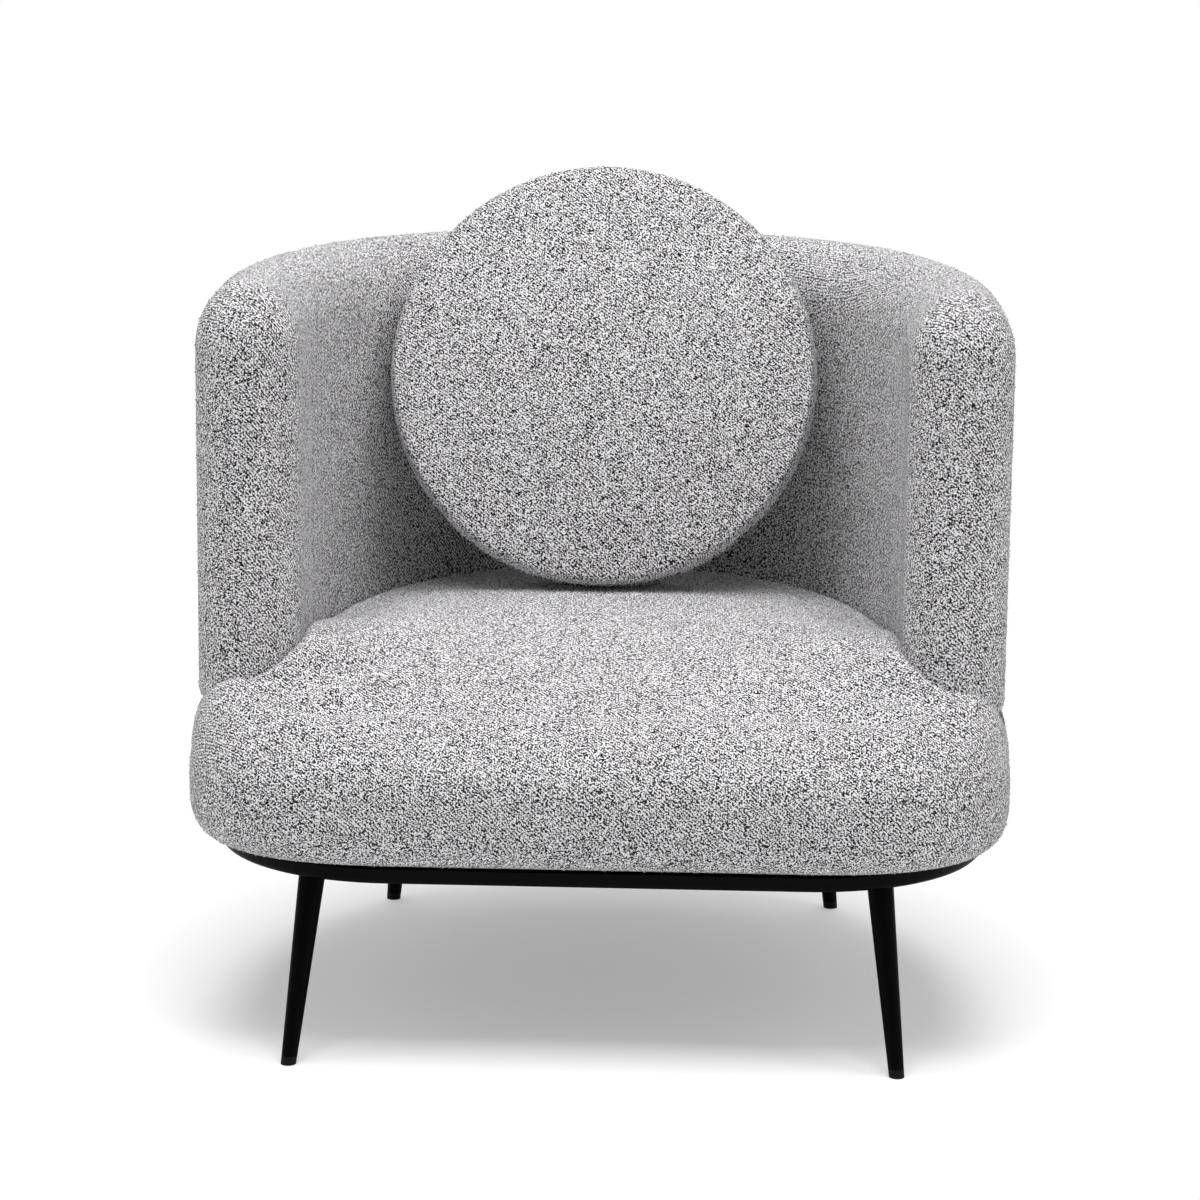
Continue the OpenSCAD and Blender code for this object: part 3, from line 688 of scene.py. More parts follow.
@dataclass(frozen=True)
class Stuffing:
    """Cloth simulation that fills a closed cover from inside."""

    voxel: float
    start_in: float
    cap: float = 0.005
    pressure: float = 4.0
    stiffness: float = 25.0
    bending: float = 2.0
    quality: int = 3
    frames: int = 20
    neighbours: int = 6

    def fill(self, piece: bpy.types.Object, hold: Callable[[np.ndarray], np.ndarray]) -> None:
        """Args:
            piece: The cover, a closed mesh.
            hold: Gives, for points, how firmly each one is sewn down, from 0 to 1.
        """
        copy = self._remeshed(piece)
        rest = points_of(copy)
        moved = self._blown(copy, rest, hold(rest))
        bpy.data.objects.remove(copy)
        tree = KDTree(len(rest))
        for index, point in enumerate(rest):
            tree.insert(point, index)
        tree.balance()
        points = points_of(piece)
        shift = np.zeros_like(points)
        loose = 1 - hold(points)
        for index in np.nonzero(loose > 0)[0]:
            near = tree.find_n(points[index], self.neighbours)
            weights = np.array([1 / (gap + self.voxel / 4) for _, _, gap in near])
            mean = (moved[[k for _, k, _ in near]] * weights[:, None]).sum(0) / weights.sum()
            shift[index] = mean * loose[index]
        set_points(piece, points + shift)

    def _remeshed(self, piece: bpy.types.Object) -> bpy.types.Object:
        """Even copy of a closed mesh.

        Args:
            piece: The cover.

        Returns:
            The copy.
        """
        remesh = piece.modifiers.new("even", "REMESH")
        remesh.mode = "VOXEL"
        remesh.voxel_size = self.voxel
        graph = bpy.context.evaluated_depsgraph_get()
        mesh = bpy.data.meshes.new_from_object(piece.evaluated_get(graph))
        piece.modifiers.remove(remesh)
        return linked(piece.name + "_stuffed", mesh)

    def _blown(self, copy: bpy.types.Object, rest: np.ndarray, sewn: np.ndarray) -> np.ndarray:
        """Runs the simulation on the even copy, which starts a little inside the cover.

        Args:
            copy: The copy.
            rest: Its points before.
            sewn: How firmly each of them is held.

        Returns:
            How far each point has moved, held under the cap.
        """
        normals = np.empty(len(rest) * 3)
        copy.data.vertex_normals.foreach_get("vector", normals)
        set_points(copy, rest - normals.reshape(-1, 3) * self.start_in)
        group = copy.vertex_groups.new(name="sewn")
        for index, weight in enumerate(sewn):
            if weight > 0:
                group.add([index], float(weight), "REPLACE")
        cloth = copy.modifiers.new("stuffing", "CLOTH")
        settings = cloth.settings
        settings.quality = self.quality
        settings.use_pressure = True
        settings.uniform_pressure_force = self.pressure
        settings.tension_stiffness = settings.compression_stiffness = self.stiffness
        settings.bending_stiffness = self.bending
        settings.effector_weights.gravity = 0.0
        settings.vertex_group_mass = "sewn"
        cloth.point_cache.frame_start, cloth.point_cache.frame_end = 1, self.frames
        scene = bpy.context.scene
        for number in range(1, self.frames + 1):
            scene.frame_set(number)
        moved = points_of(copy.evaluated_get(bpy.context.evaluated_depsgraph_get())) - rest
        scene.frame_set(1)
        length = np.linalg.norm(moved, axis=1, keepdims=True)
        LOG.info("%s: moved %.1f mm at most", copy.name, 1000 * float(length.max()))
        return moved * np.minimum(1.0, self.cap / np.maximum(length, 1e-9))


def points_of(piece: bpy.types.Object) -> np.ndarray:
    """Points of a mesh as rows."""
    flat = np.empty(len(piece.data.vertices) * 3)
    piece.data.vertices.foreach_get("co", flat)
    return flat.reshape(-1, 3)


def set_points(piece: bpy.types.Object, points: np.ndarray) -> None:
    """Puts a mesh's points in new places."""
    piece.data.vertices.foreach_set("co", points.ravel())
    piece.data.update()


# ------------------------------------------------------------------- the chair


@dataclass(frozen=True)
class Plan:
    """Middle line of the tub wall, seen from above, which the seat follows too."""

    line_w: float = 0.346
    corner: tuple[float, float] = (0.203, -0.120)
    corner_r: float = 0.143
    side_r: float = 0.494694
    bend_r: float = 0.290
    back_r: float = 0.39766
    line_back: float = 0.263
    nose_y: float = -0.175
    nose_r: float = 0.045
    seat_out: float = 0.05
    turn_1: float = math.radians(25)
    turn_2: float = math.radians(70)
    sample: float = 0.003
    chunk: int = 4000

    def arcs(self) -> list[tuple[np.ndarray, float, float, float]]:
        """Centre, radius, first and last turn of the side, bend and back arcs."""
        side = np.array([self.line_w - self.side_r, self.corner[1]])
        bend = side + (self.side_r - self.bend_r) * direction(self.turn_1)
        back = np.array([0.0, self.line_back - self.back_r])
        return [
            (side, self.side_r, 0.0, self.turn_1),
            (bend, self.bend_r, self.turn_1, self.turn_2),
            (back, self.back_r, self.turn_2, math.pi / 2),
        ]

    def line(self, step: float) -> list[tuple[np.ndarray, np.ndarray]]:
        """Points from the front of the side arc to the middle of the back.

        Args:
            step: Distance between the points.

        Returns:
            Pairs of a point and its outward direction; the last is the middle of the back.
        """
        found = []
        for centre, radius, first, last in self.arcs():
            for turn in stretch(first, last, step / radius):
                found.append((centre + radius * direction(turn), direction(turn)))
        found.append((np.array([0.0, self.line_back]), np.array([0.0, 1.0])))
        return found

    def seat_ring(self, step: float) -> tuple[np.ndarray, np.ndarray]:
        """Closed line of the seat, from the middle of the front.

        Args:
            step: Distance between the points.

        Returns:
            Points of the line and the directions out of them.
        """
        corner = np.array(self.corner)
        front = [
            (np.array([x, self.corner[1] - self.corner_r]), np.array([0.0, -1.0]))
            for x in stretch(0.0, self.corner[0], step)
        ]
        bend = [
            (corner + self.corner_r * direction(turn), direction(turn))
            for turn in stretch(-math.pi / 2, 0.0, step / (self.corner_r + self.seat_out))
        ]
        half = front + bend + self.line(step)
        ring = half + [(p * FLIP, d * FLIP) for p, d in half[1:-1]][::-1]
        return np.array([p for p, _ in ring]), np.array([d for _, d in ring])

    def arm(self, step: float) -> list[tuple[np.ndarray, np.ndarray]]:
        """Straight line of an arm, from its round front to the side arc."""
        ahead = stretch(self.nose_y, self.corner[1], step)
        return [(np.array([self.line_w, y]), np.array([1.0, 0.0])) for y in ahead]

    def wall_ring(self, step: float) -> tuple[np.ndarray, np.ndarray]:
        """Closed line round the wall and both arm fronts.

        Args:
            step: Distance between the points.

        Returns:
            Points of the wall's middle line and the directions out of them.
        """
        nose = np.array([self.line_w, self.nose_y])
        front = [(nose, direction(turn)) for turn in stretch(-math.pi, 0.0, step / self.nose_r)]
        back = self.arm(step) + self.line(step)
        outer = front + back
        inner = [(p, -d) for p, d in back]
        left = [(p * FLIP, d * FLIP) for p, d in outer[:-1]][::-1]
        left_inner = [(p * FLIP, d * FLIP) for p, d in inner[:-1]]
        ring = outer + left + left_inner[1:] + inner[::-1][:-1]
        return np.array([p for p, _ in ring]), np.array([d for _, d in ring])

    def wall_distance(self, points: np.ndarray) -> np.ndarray:
        """Distance of plan points from the wall's middle line.

        Args:
            points: The points.

        Returns:
            The distance of each one.
        """
        line = np.array([p for p, _ in self.arm(self.sample) + self.line(self.sample)])
        line = np.concatenate([line, line * FLIP])
        found = np.empty(len(points))
        for start in range(0, len(points), self.chunk):
            part = points[start : start + self.chunk, None, :] - line[None, :, :]
            found[start : start + self.chunk] = np.sqrt((part**2).sum(2).min(1))
        return found


PLAN = Plan()


@dataclass
class SeatPad:
    """Wide rounded seat, tucked in round the foot of the wall and swelling beside the arms."""

    step: float = 0.0045
    out: float = 0.058
    base_z: float = 0.195
    base_shares: tuple[float, ...] = (0.0, 0.5, 0.9, 0.98)
    wide_z: float = 0.252
    ear: float = 0.035
    ear_power: float = 2.25
    edge_in: float = 0.042
    crown_z: float = 0.412
    crown_y: float = 0.010
    side_z: float = 0.368
    side_in: float = 0.047
    front_z: float = 0.334
    front_in: float = 0.066
    front_reach: float = 0.201
    drop_power: float = 3.0
    draw_power: float = 2.0
    back_z: float = 0.376
    back_reach: float = 0.441
    power: float = 0.8
    rings: tuple[int, int, int] = (16, 34, 66)
    swell: float = 0.027
    swell_at: tuple[float, float] = (0.297, -0.2)
    swell_in: float = 0.1
    swell_out: float = 0.078
    swell_ahead: float = 0.075
    swell_behind: float = 0.19
    swell_z: float = 0.335
    swell_fade: float = 0.03
    wall_half: float = 0.051
    tuck_roll: float = 0.012
    tuck_drop: float = 0.012
    tuck_floor: float = 0.327
    tuck_ramp: float = 0.006
    swollen_at: float = 0.004
    swollen_in: float = 0.007
    swollen_ramp: float = 0.008
    held_z: float = 0.31
    held_fade: float = 0.03
    held_gap: float = 0.035
    held_ramp: float = 0.02

    def front_share(self, y: np.ndarray, power: float) -> np.ndarray:
        """Share of the way from the corners' line to the front."""
        return np.clip((PLAN.corner[1] - y) / self.front_reach, 0, 1) ** power

    def rows(self) -> list[np.ndarray]:
        """Draws the free form.

        Returns:
            Rings of points from the middle of the underside to the crown.
        """
        middle, out = PLAN.seat_ring(self.step)
        turn = np.arctan2(-out[:, 1], np.abs(out[:, 0]))
        front = middle[:, 1] <= PLAN.corner[1] + 1e-9
        ear = self.ear * np.clip(np.sin(2 * turn), 0, 1) ** self.ear_power
        ear = np.where(front, ear, 0.0)
        plain = middle + out * self.out
        widest = plain + out * ear[:, None]
        ahead = widest[:, 1]
        share = self.front_share(ahead, self.drop_power)
        back = np.clip((ahead - PLAN.corner[1]) / self.back_reach, 0, 1) ** 2
        top_z = self.side_z + (self.front_z - self.side_z) * share
        top_z = top_z + (self.back_z - self.side_z) * back
        drawn = self.front_share(ahead, self.draw_power)
        top_in = self.side_in + (self.front_in - self.side_in) * drawn
        low = plain - out * self.edge_in
        rows = [
            np.column_stack([low * share, np.full(len(low), self.base_z)])
            for share in self.base_shares
        ]

        def row(inset: np.ndarray, height: np.ndarray) -> None:
            """Adds a ring drawn in from the widest line."""
            plan = widest - out * np.reshape(inset, (-1, 1))
            rows.append(np.column_stack([plan, np.broadcast_to(height, len(plan))]))

        under, side, crown = self.rings
        for t in np.linspace(90, 0, under):
            c, s = math.cos(math.radians(t)), math.sin(math.radians(t))
            row(
                self.edge_in * (1 - c**self.power) + ear * (1 - max(c, 0.0) ** self.power),
                self.wide_z - (self.wide_z - self.base_z) * s**self.power,
            )
        for t in np.linspace(0, 90, side)[1:]:
            c, s = max(0.0, math.cos(math.radians(t))), math.sin(math.radians(t))
            height = self.wide_z + (top_z - self.wide_z) * s**self.power
            row(top_in * (1 - c**self.power), height)
        edge = rows[-1]
        centre = np.array([0.0, self.crown_y])
        for s in np.linspace(1, 0, crown)[1:]:
            plan = centre + (edge[:, :2] - centre) * s
            height = edge[:, 2] + (self.crown_z - edge[:, 2]) * (1 - s * s)
            rows.append(np.column_stack([plan, height]))
        return rows

    def rise(self, points: np.ndarray) -> np.ndarray:
        """How much higher the seat's top stands beside and before the arms.

        Args:
            points: Points of the seat.

        Returns:
            The rise at each one.
        """
        side = np.abs(points[:, 0]) - self.swell_at[0]
        inner = np.exp(-((side / self.swell_in) ** 2))
        across = np.where(side < 0, inner, np.exp(-(np.abs(side / self.swell_out) ** 3)))
        ahead = points[:, 1] - self.swell_at[1]
        behind = np.clip(1 - ahead / self.swell_behind, 0, 1)
        before = np.exp(-((ahead / self.swell_ahead) ** 2))
        along = np.where(ahead < 0, before, behind**2 * (3 - 2 * behind))
        above = np.clip((points[:, 2] - self.swell_z) / self.swell_fade, 0, 1)
        return self.swell * across * along * above

    def tuck(self, row: np.ndarray) -> np.ndarray:
        """Raises the swell and sinks the cloth round the foot of the wall.

        Args:
            row: A ring of the free form.

        Returns:
            The ring with the tuck.
        """
        gap = PLAN.wall_distance(row[:, :2]) - self.wall_half
        rise = self.rise(row)
        swollen = np.clip(rise / self.swollen_at, 0, 1)
        z = row[:, 2] + rise
        roll = np.clip((self.tuck_roll - gap) / self.tuck_roll, 0, 1)
        soft = z - self.tuck_drop * (1 - np.sqrt(1 - roll**2))
        ramp = self.tuck_ramp + self.swollen_ramp * swollen
        deep = np.clip((-gap - self.swollen_in * swollen) / ramp, 0, 1)
        sunk = soft + (self.tuck_floor - soft) * deep
        return np.column_stack([row[:, :2], np.where(z > self.tuck_floor, sunk, z)])

    def sewn(self, points: np.ndarray) -> np.ndarray:
        """How firmly the cover is held: underneath, and along the foot of the wall.

        Args:
            points: Points of the seat.

        Returns:
            The hold at each one, from 0 to 1.
        """
        low = np.clip((self.held_z - points[:, 2]) / self.held_fade, 0, 1)
        gap = PLAN.wall_distance(points[:, :2]) - self.wall_half
        wall = np.clip((self.held_gap - gap) / self.held_ramp, 0, 1)
        return np.maximum(low, wall * (points[:, 2] > self.tuck_floor - self.held_fade))

    def build(self, finishes: Finishes) -> bpy.types.Object:
        """Builds the seat and lets it stand for its CAD cover and foams.

        Args:
            finishes: The finishes.

        Returns:
            The seat.
        """
        piece = skin("seat_pad", [self.tuck(row) for row in self.rows()])
        Stuffing(voxel=0.010, start_in=0.002).fill(piece, self.sewn)
        finishes.dress(piece, "boucle")
        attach(piece, "chair")
        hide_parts("seat_cover", "seat_foam", "border_foam")
        return piece


@dataclass
class TubWall:
    """One-piece padded wall: back and arms, with a rolled top and round arm fronts."""

    step: float = 0.0045
    half: float = 0.051
    roll_z: float = 0.682
    roll_h: float = 0.068
    roll_rings: int = 23
    low_z: float = 0.345
    under: tuple[tuple[float, float], ...] = (
        (0.0, 0.331),
        (0.02, 0.331),
        (0.036, 0.3315),
        (0.045, 0.334),
        (0.0495, 0.339),
    )

    def profile(self) -> list[tuple[float, float]]:
        """Draws the wall's section.

        Returns:
            Half width and height of each ring, from the underside to the top.
        """
        side = [(self.half, z) for z in stretch(self.low_z, self.roll_z, self.step)]
        roll = [
            (self.half * math.cos(t), self.roll_z + self.roll_h * math.sin(t))
            for t in np.linspace(0, math.pi / 2, self.roll_rings)
        ]
        return [*self.under, *side, *roll]

    def build(self, finishes: Finishes) -> bpy.types.Object:
        """Builds the wall and lets it stand for its CAD cover and padding.

        Args:
            finishes: The finishes.

        Returns:
            The wall.
        """
        middle, out = PLAN.wall_ring(self.step)
        rows = [
            np.column_stack([middle + out * w, np.full(len(middle), z)])
            for w, z in self.profile()
        ]
        piece = skin("tub_wall", rows)
        finishes.dress(piece, "boucle")
        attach(piece, "chair")
        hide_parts("tub_cover", "tub_padding")
        return piece


@dataclass
class RoundCushion:
    """Loose round cushion with a front and a back panel sewn to a gusset."""

    centre: tuple[float, float, float] = (-0.009, 0.0810871, 0.618977)
    lean: float = math.radians(20)
    radius: float = 0.216
    gusset: float = 0.046
    crown: float = 0.018
    front_crown: float = 0.017
    face_power: float = 3.4
    roll_power: float = 0.8
    bulge: float = 0.0045
    lip: float = 0.0012
    lip_reach: float = 0.004
    seam_depth: float = 0.0022
    seam_half: float = 0.0003
    panel_rings: int = 62
    edge_rings: tuple[float, ...] = (0.003, 0.0018, 0.0009)
    gusset_rings: tuple[float, ...] = (0.0012, 0.0022, 0.0036)
    gusset_start: float = 0.006
    zip_half: float = 0.0083
    zip_lip: float = 0.0007
    zip_turn: float = math.radians(55)
    zip_share: float = 0.99
    outer_share: float = 0.9
    zip_shares: tuple[float, ...] = (1.0, 0.98, 0.6, 0.3, 0.0)
    held_reach: float = 0.03
    held_ramp: float = 0.024
    columns: int = 360

    def matrix(self) -> Matrix:
        """Place of the cushion: its axis to the front, its top along +Y."""
        return Matrix.Translation(self.centre) @ Matrix.Rotation(math.pi / 2 - self.lean, 4, "X")

    def placed(self, points: np.ndarray) -> np.ndarray:
        """Points of the cushion's own frame, moved to their place."""
        place = np.array(self.matrix())
        return points @ place[:3, :3].T + place[:3, 3]

    def back(self, r: float) -> float:
        """Height of the back panel above its seam, with the seam's lip, at a radius."""
        dome = (self.radius**2 + self.crown**2) / (2 * self.crown)
        lip = self.lip * math.exp(-(((self.radius - r) / self.lip_reach) ** 2))
        return math.sqrt(dome**2 - r * r) - (dome - self.crown) + lip

    def face(self, r: float) -> float:
        """Height of the front panel above its seam: even in the middle, rolled at the edge."""
        flat = 1 - min(1.0, r / self.radius) ** self.face_power
        return self.front_crown * flat**self.roll_power

    def side(self, z: float) -> tuple[float, float]:
        """Point of the bulging gusset at a height from its middle."""
        return self.radius + self.bulge * (1 - (2 * z / self.gusset) ** 2), z

    def profile(self) -> list[tuple[float, float]]:
        """Draws the cushion's section.

        Returns:
            Radius and height of each ring, from the back's middle to the front's.
        """
        g = self.gusset / 2
        turns = np.linspace(0, math.pi / 2, self.panel_rings)[:-4]
        radii = [self.radius * math.sin(turn) for turn in turns]
        radii += [self.radius - inset for inset in self.edge_rings]
        back = [(r, -g - self.back(r)) for r in radii]
        seam = (self.radius - self.seam_depth, g - self.seam_half)
        heights = [-g + rise for rise in self.gusset_rings]
        heights += list(np.linspace(-g + self.gusset_start, -self.zip_half - self.zip_lip, 4))
        heights += [-self.zip_half * share for share in self.zip_shares]
        half = [self.side(z) for z in heights]
        full = half + [(r, -z) for r, z in half[:-1]][::-1]
        front = [(r, g + self.face(r)) for r in radii][::-1]
        return [*back, (seam[0], -seam[1]), *full, seam, *front]

    def sewn(self, points: np.ndarray) -> np.ndarray:
        """How firmly the cover is held: along its seams and round its gusset.

        Args:
            points: Points of the cushion.

        Returns:
            The hold at each one, from 0 to 1.
        """
        place = np.array(self.matrix().inverted())
        own = points @ place[:3, :3].T + place[:3, 3]
        reach = np.hypot(own[:, 0], own[:, 1])
        return np.clip((reach - self.radius + self.held_reach) / self.held_ramp, 0, 1)

    def build(self, finishes: Finishes) -> bpy.types.Object:
        """Builds the cushion and lets it stand for its CAD cover and filling.

        Args:
            finishes: The finishes.

        Returns:
            The cushion.
        """
        turns = np.linspace(0, 2 * math.pi, self.columns, endpoint=False)
        below = np.abs((turns + math.pi / 2 + math.pi) % (2 * math.pi) - math.pi)
        rows = []
        for r, z in self.profile():
            ring = np.full(self.columns, r)
            if abs(z) < self.zip_half * self.zip_share and r > self.radius * self.outer_share:
                ring = np.where(below < self.zip_turn, self.radius - self.seam_half, ring)
            height = np.full(self.columns, z)
            flat = np.column_stack([ring * np.cos(turns), ring * np.sin(turns), height])
            rows.append(self.placed(flat))
        piece = skin("round_cushion_pad", rows)
        Stuffing(voxel=0.007, start_in=0.001, cap=0.003).fill(piece, self.sewn)
        finishes.dress(piece, "boucle")
        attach(piece, "round_cushion")
        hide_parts("disc_cover", "disc_insert")
        return piece


@dataclass
class ZipTape:
    """Zip in the gusset: a woven tape with a coil along its middle."""

    cushion: RoundCushion
    half_turn: float = math.radians(54)
    width: float = 0.016
    thick: float = 0.001
    radius: float = 0.216
    pitch: float = 0.0016
    wire_share: float = 0.3
    coil_r: float = 0.0011
    coil_lean: float = 0.25
    soft: float = 0.0003
    bevel: float = 0.0005
    base: float = 0.0002
    bed: tuple[float, float] = (0.0016, 0.0009)
    tape_rings: int = 121
    turn_points: int = 7
    wire_points: int = 4

    def turns(self, count: int) -> np.ndarray:
        """Even turns from one end of the zip to the other."""
        return -math.pi / 2 + np.linspace(-self.half_turn, self.half_turn, count)

    def tape(self) -> bpy.types.Object:
        """Builds the tape with softened edges and a bed for the coil.

        Returns:
            The tape.
        """
        h, t, soft, bevel, base = self.width / 2, self.thick, self.soft, self.bevel, self.base
        section = [(0, -h + soft), (0, h - soft), (base, h), (t - soft, h), (t, h - bevel)]
        section += [(t, self.bed[0]), (t - soft, self.bed[1])]
        section += [(t - soft, -self.bed[1]), (t, -self.bed[0])]
        section += [(t, -h + bevel), (t - soft, -h), (base, -h)]
        radius = self.radius + np.array([r for r, _ in section])
        height = np.array([z for _, z in section])
        rows = [
            self.cushion.placed(
                np.column_stack([radius * math.cos(turn), radius * math.sin(turn), height])
            )
            for turn in self.turns(self.tape_rings)
        ]
        ends = [np.repeat(row.mean(0)[None], len(section), 0) for row in (rows[0], rows[-1])]
        return skin("zip_band", [ends[0], *rows, ends[1]])

    def coil(self, material: bpy.types.Material) -> bpy.types.Object:
        """Builds the coil: small wound turns, repeated along the tape's middle.

        Args:
            material: Its finish.

        Returns:
            The coil.
        """
        count = round(2 * self.half_turn * self.radius / self.pitch)
        wire_r = self.pitch * self.wire_share
        recipe = Recipe("zip_coil_turns", {"Turn radius": self.coil_r, "Wire radius": wire_r})
        ring = recipe.circle(self.turn_points, "Turn radius")
        wire = recipe.circle(self.wire_points, "Wire radius")
        shape = recipe.tube(ring, wire, (0.0, math.pi / 2 + self.coil_lean, 0.0))
        line = {"Mesh": recipe.given("Geometry")}
        points = recipe.flow("GeometryNodeMeshToPoints", {}, line)
        typed, named = {"data_type": "FLOAT_VECTOR"}, {"Name": "tangent"}
        along = recipe.flow("GeometryNodeInputNamedAttribute", typed, named)
        align = recipe.flow("FunctionNodeAlignRotationToVector", {"axis": "X"}, {"Vector": along})
        recipe.spread(points, shape, align, 1.0, material)
        turns = self.turns(count + 2)[1:-1]
        mid = self.radius + self.thick - self.soft
        row = np.column_stack([mid * np.cos(turns), mid * np.sin(turns), np.zeros(count)])
        way = np.column_stack([-np.sin(turns), np.cos(turns), np.zeros(count)])
        mesh = bpy.data.meshes.new("zip_line")
        mesh.from_pydata(self.cushion.placed(row).tolist(), [], [])
        tangent = mesh.attributes.new("tangent", "FLOAT_VECTOR", "POINT")
        turned = way @ np.array(self.cushion.matrix())[:3, :3].T
        tangent.data.foreach_set("vector", turned.ravel())
        host = linked("zip_line", mesh)
        coil = recipe.cook("zip_coil", host, {})
        bpy.data.objects.remove(host)
        return coil

    def build(self, finishes: Finishes) -> bpy.types.Object:
        """Builds the zip and lets it stand for its CAD tape.

        Args:
            finishes: The finishes.

        Returns:
            The tape.
        """
        tape, coil = self.tape(), self.coil(finishes.by_slot["zip_cloth"])
        for piece in (tape, coil):
            finishes.dress(piece, "zip_cloth")
            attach(piece, "round_cushion")
        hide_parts("zip_tape")
        return tape


@dataclass
class SpringFelt:
    """Felt pad that lies on the springs and gives a little between them."""

    out: float = -0.033
    step: float = 0.006
    front_y: float = -0.241
    back_y: float = 0.195
    low_z: float = 0.3038
    thick: float = 0.003
    edge_in: float = 0.0008
    edge_share: float = 0.996
    sag: float = 0.0012
    sag_w: float = 0.08
    sag_times: float = 12.0
    rings: int = 44

    def build(self, finishes: Finishes) -> bpy.types.Object:
        """Builds the felt and lets it stand for its CAD pad.

        Args:
            finishes: The finishes.

        Returns:
            The felt.
        """
        middle, out = PLAN.seat_ring(self.step)
        plan = middle + out * self.out
        plan[:, 1] = np.clip(plan[:, 1], self.front_y, self.back_y)
        centre = np.array([0.0, (self.front_y + self.back_y) / 2])

        def row(share: float, height: float) -> np.ndarray:
            """Ring drawn in to a share, with the felt's dips between the springs."""
            at = centre + (plan - centre) * share
            depth = self.sag * min(1.0, (1 - share) * self.sag_times)
            dip = depth * np.sin(math.pi * at[:, 0] / self.sag_w) ** 2
            return np.column_stack([at, height - dip])

        shares = np.minimum(np.linspace(0, 1, self.rings), self.edge_share)
        rows = [row(share, self.low_z + self.sag) for share in shares]
        rows += [row(1.0, self.low_z + z) for z in (self.edge_in, self.thick - self.edge_in)]
        rows += [row(share, self.low_z + self.thick) for share in shares[::-1]]
        piece = skin("spring_felt", rows)
        finishes.dress(piece, "felt")
        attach(piece, "chair")
        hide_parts("spring_pad")
        return piece


@dataclass(frozen=True)
class YarnLoops:
    """Small loops of yarn that stand out of the cloth all over it."""

    density: float = 7000.0
    width: float = 0.0009
    yarn: float = 0.00028
    foot: float = 0.35
    lean: float = 0.5
    sizes: tuple[float, float] = (0.7, 1.35)
    bow_points: int = 4
    yarn_points: int = 3
    seed: int = 7

    def recipe(self, material: bpy.types.Material) -> Recipe:
        """Makes the Geometry Nodes group that scatters loops over a mesh.

        Args:
            material: The finish of the loops.

        Returns:
            The group.
        """
        inputs = {"Density": self.density, "Loop radius": self.width}
        recipe = Recipe("yarn_loops", {**inputs, "Yarn radius": self.yarn, "Seed": self.seed})
        bow = {"Resolution": self.bow_points, "Radius": recipe.given("Loop radius")}
        bow.update({"Start Angle": -self.foot, "Sweep Angle": math.pi + 2 * self.foot})
        arc = recipe.flow("GeometryNodeCurveArc", {}, bow)
        yarn = recipe.circle(self.yarn_points, "Yarn radius")
        shape = recipe.tube(arc, yarn, (math.pi / 2 - self.lean, 0.0, 0.0))
        seed = recipe.given("Seed")
        cover = {"Mesh": recipe.given("Geometry"), "Density": recipe.given("Density"), "Seed": seed}
        way = {"distribute_method": "RANDOM"}
        cast = recipe.node("GeometryNodeDistributePointsOnFaces", way, cover)
        spin = recipe.flow("ShaderNodeCombineXYZ", {}, {"Z": recipe.chance(0.0, math.tau, seed)})
        spun = recipe.flow("FunctionNodeEulerToRotation", {}, {0: spin})
        turned = {"Rotation": Flow(recipe, cast.outputs["Rotation"]), "Rotate By": spun}
        turn = recipe.flow("FunctionNodeRotateRotation", {"rotation_space": "LOCAL"}, turned)
        size = recipe.chance(*self.sizes, seed + 1)
        recipe.spread(Flow(recipe, cast.outputs["Points"]), shape, turn, size, material)
        return recipe

    def build(self, finishes: Finishes, covers: Sequence[tuple[bpy.types.Object, str]]) -> None:
        """Puts loops on each cover.

        Args:
            finishes: The finishes.
            covers: Pairs of a cover and the body it rides on.
        """
        recipe = self.recipe(finishes.by_slot["boucle"])
        for number, (cover, body) in enumerate(covers):
            loops = recipe.cook(cover.name + "_loops", cover, {"Seed": self.seed + number})
            finishes.dress(loops, "boucle")
            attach(loops, body)
            LOG.info("%s: %d faces", loops.name, len(loops.data.polygons))


# ----------------------------------------------------------------- the setting


@dataclass(frozen=True)
class Lamp:
    """Soft area lamp that looks at the chair."""

    name: str
    place: tuple[float, float, float]
    size: tuple[float, float]
    power: float
    aim: tuple[float, float, float] = (0.0, 0.0, 0.4)

    def hang(self) -> None:
        """Hangs the lamp in its place and turns it to the chair."""
        data = bpy.data.lights.new(self.name, "AREA")
        data.shape = "RECTANGLE"
        data.size, data.size_y = self.size
        data.energy = self.power
        lamp = linked(self.name, data)
        lamp.location = self.place
        lamp.rotation_mode = "QUATERNION"
        way = Vector(self.aim) - Vector(self.place)
        lamp.rotation_quaternion = way.to_track_quat("-Z", "Y")


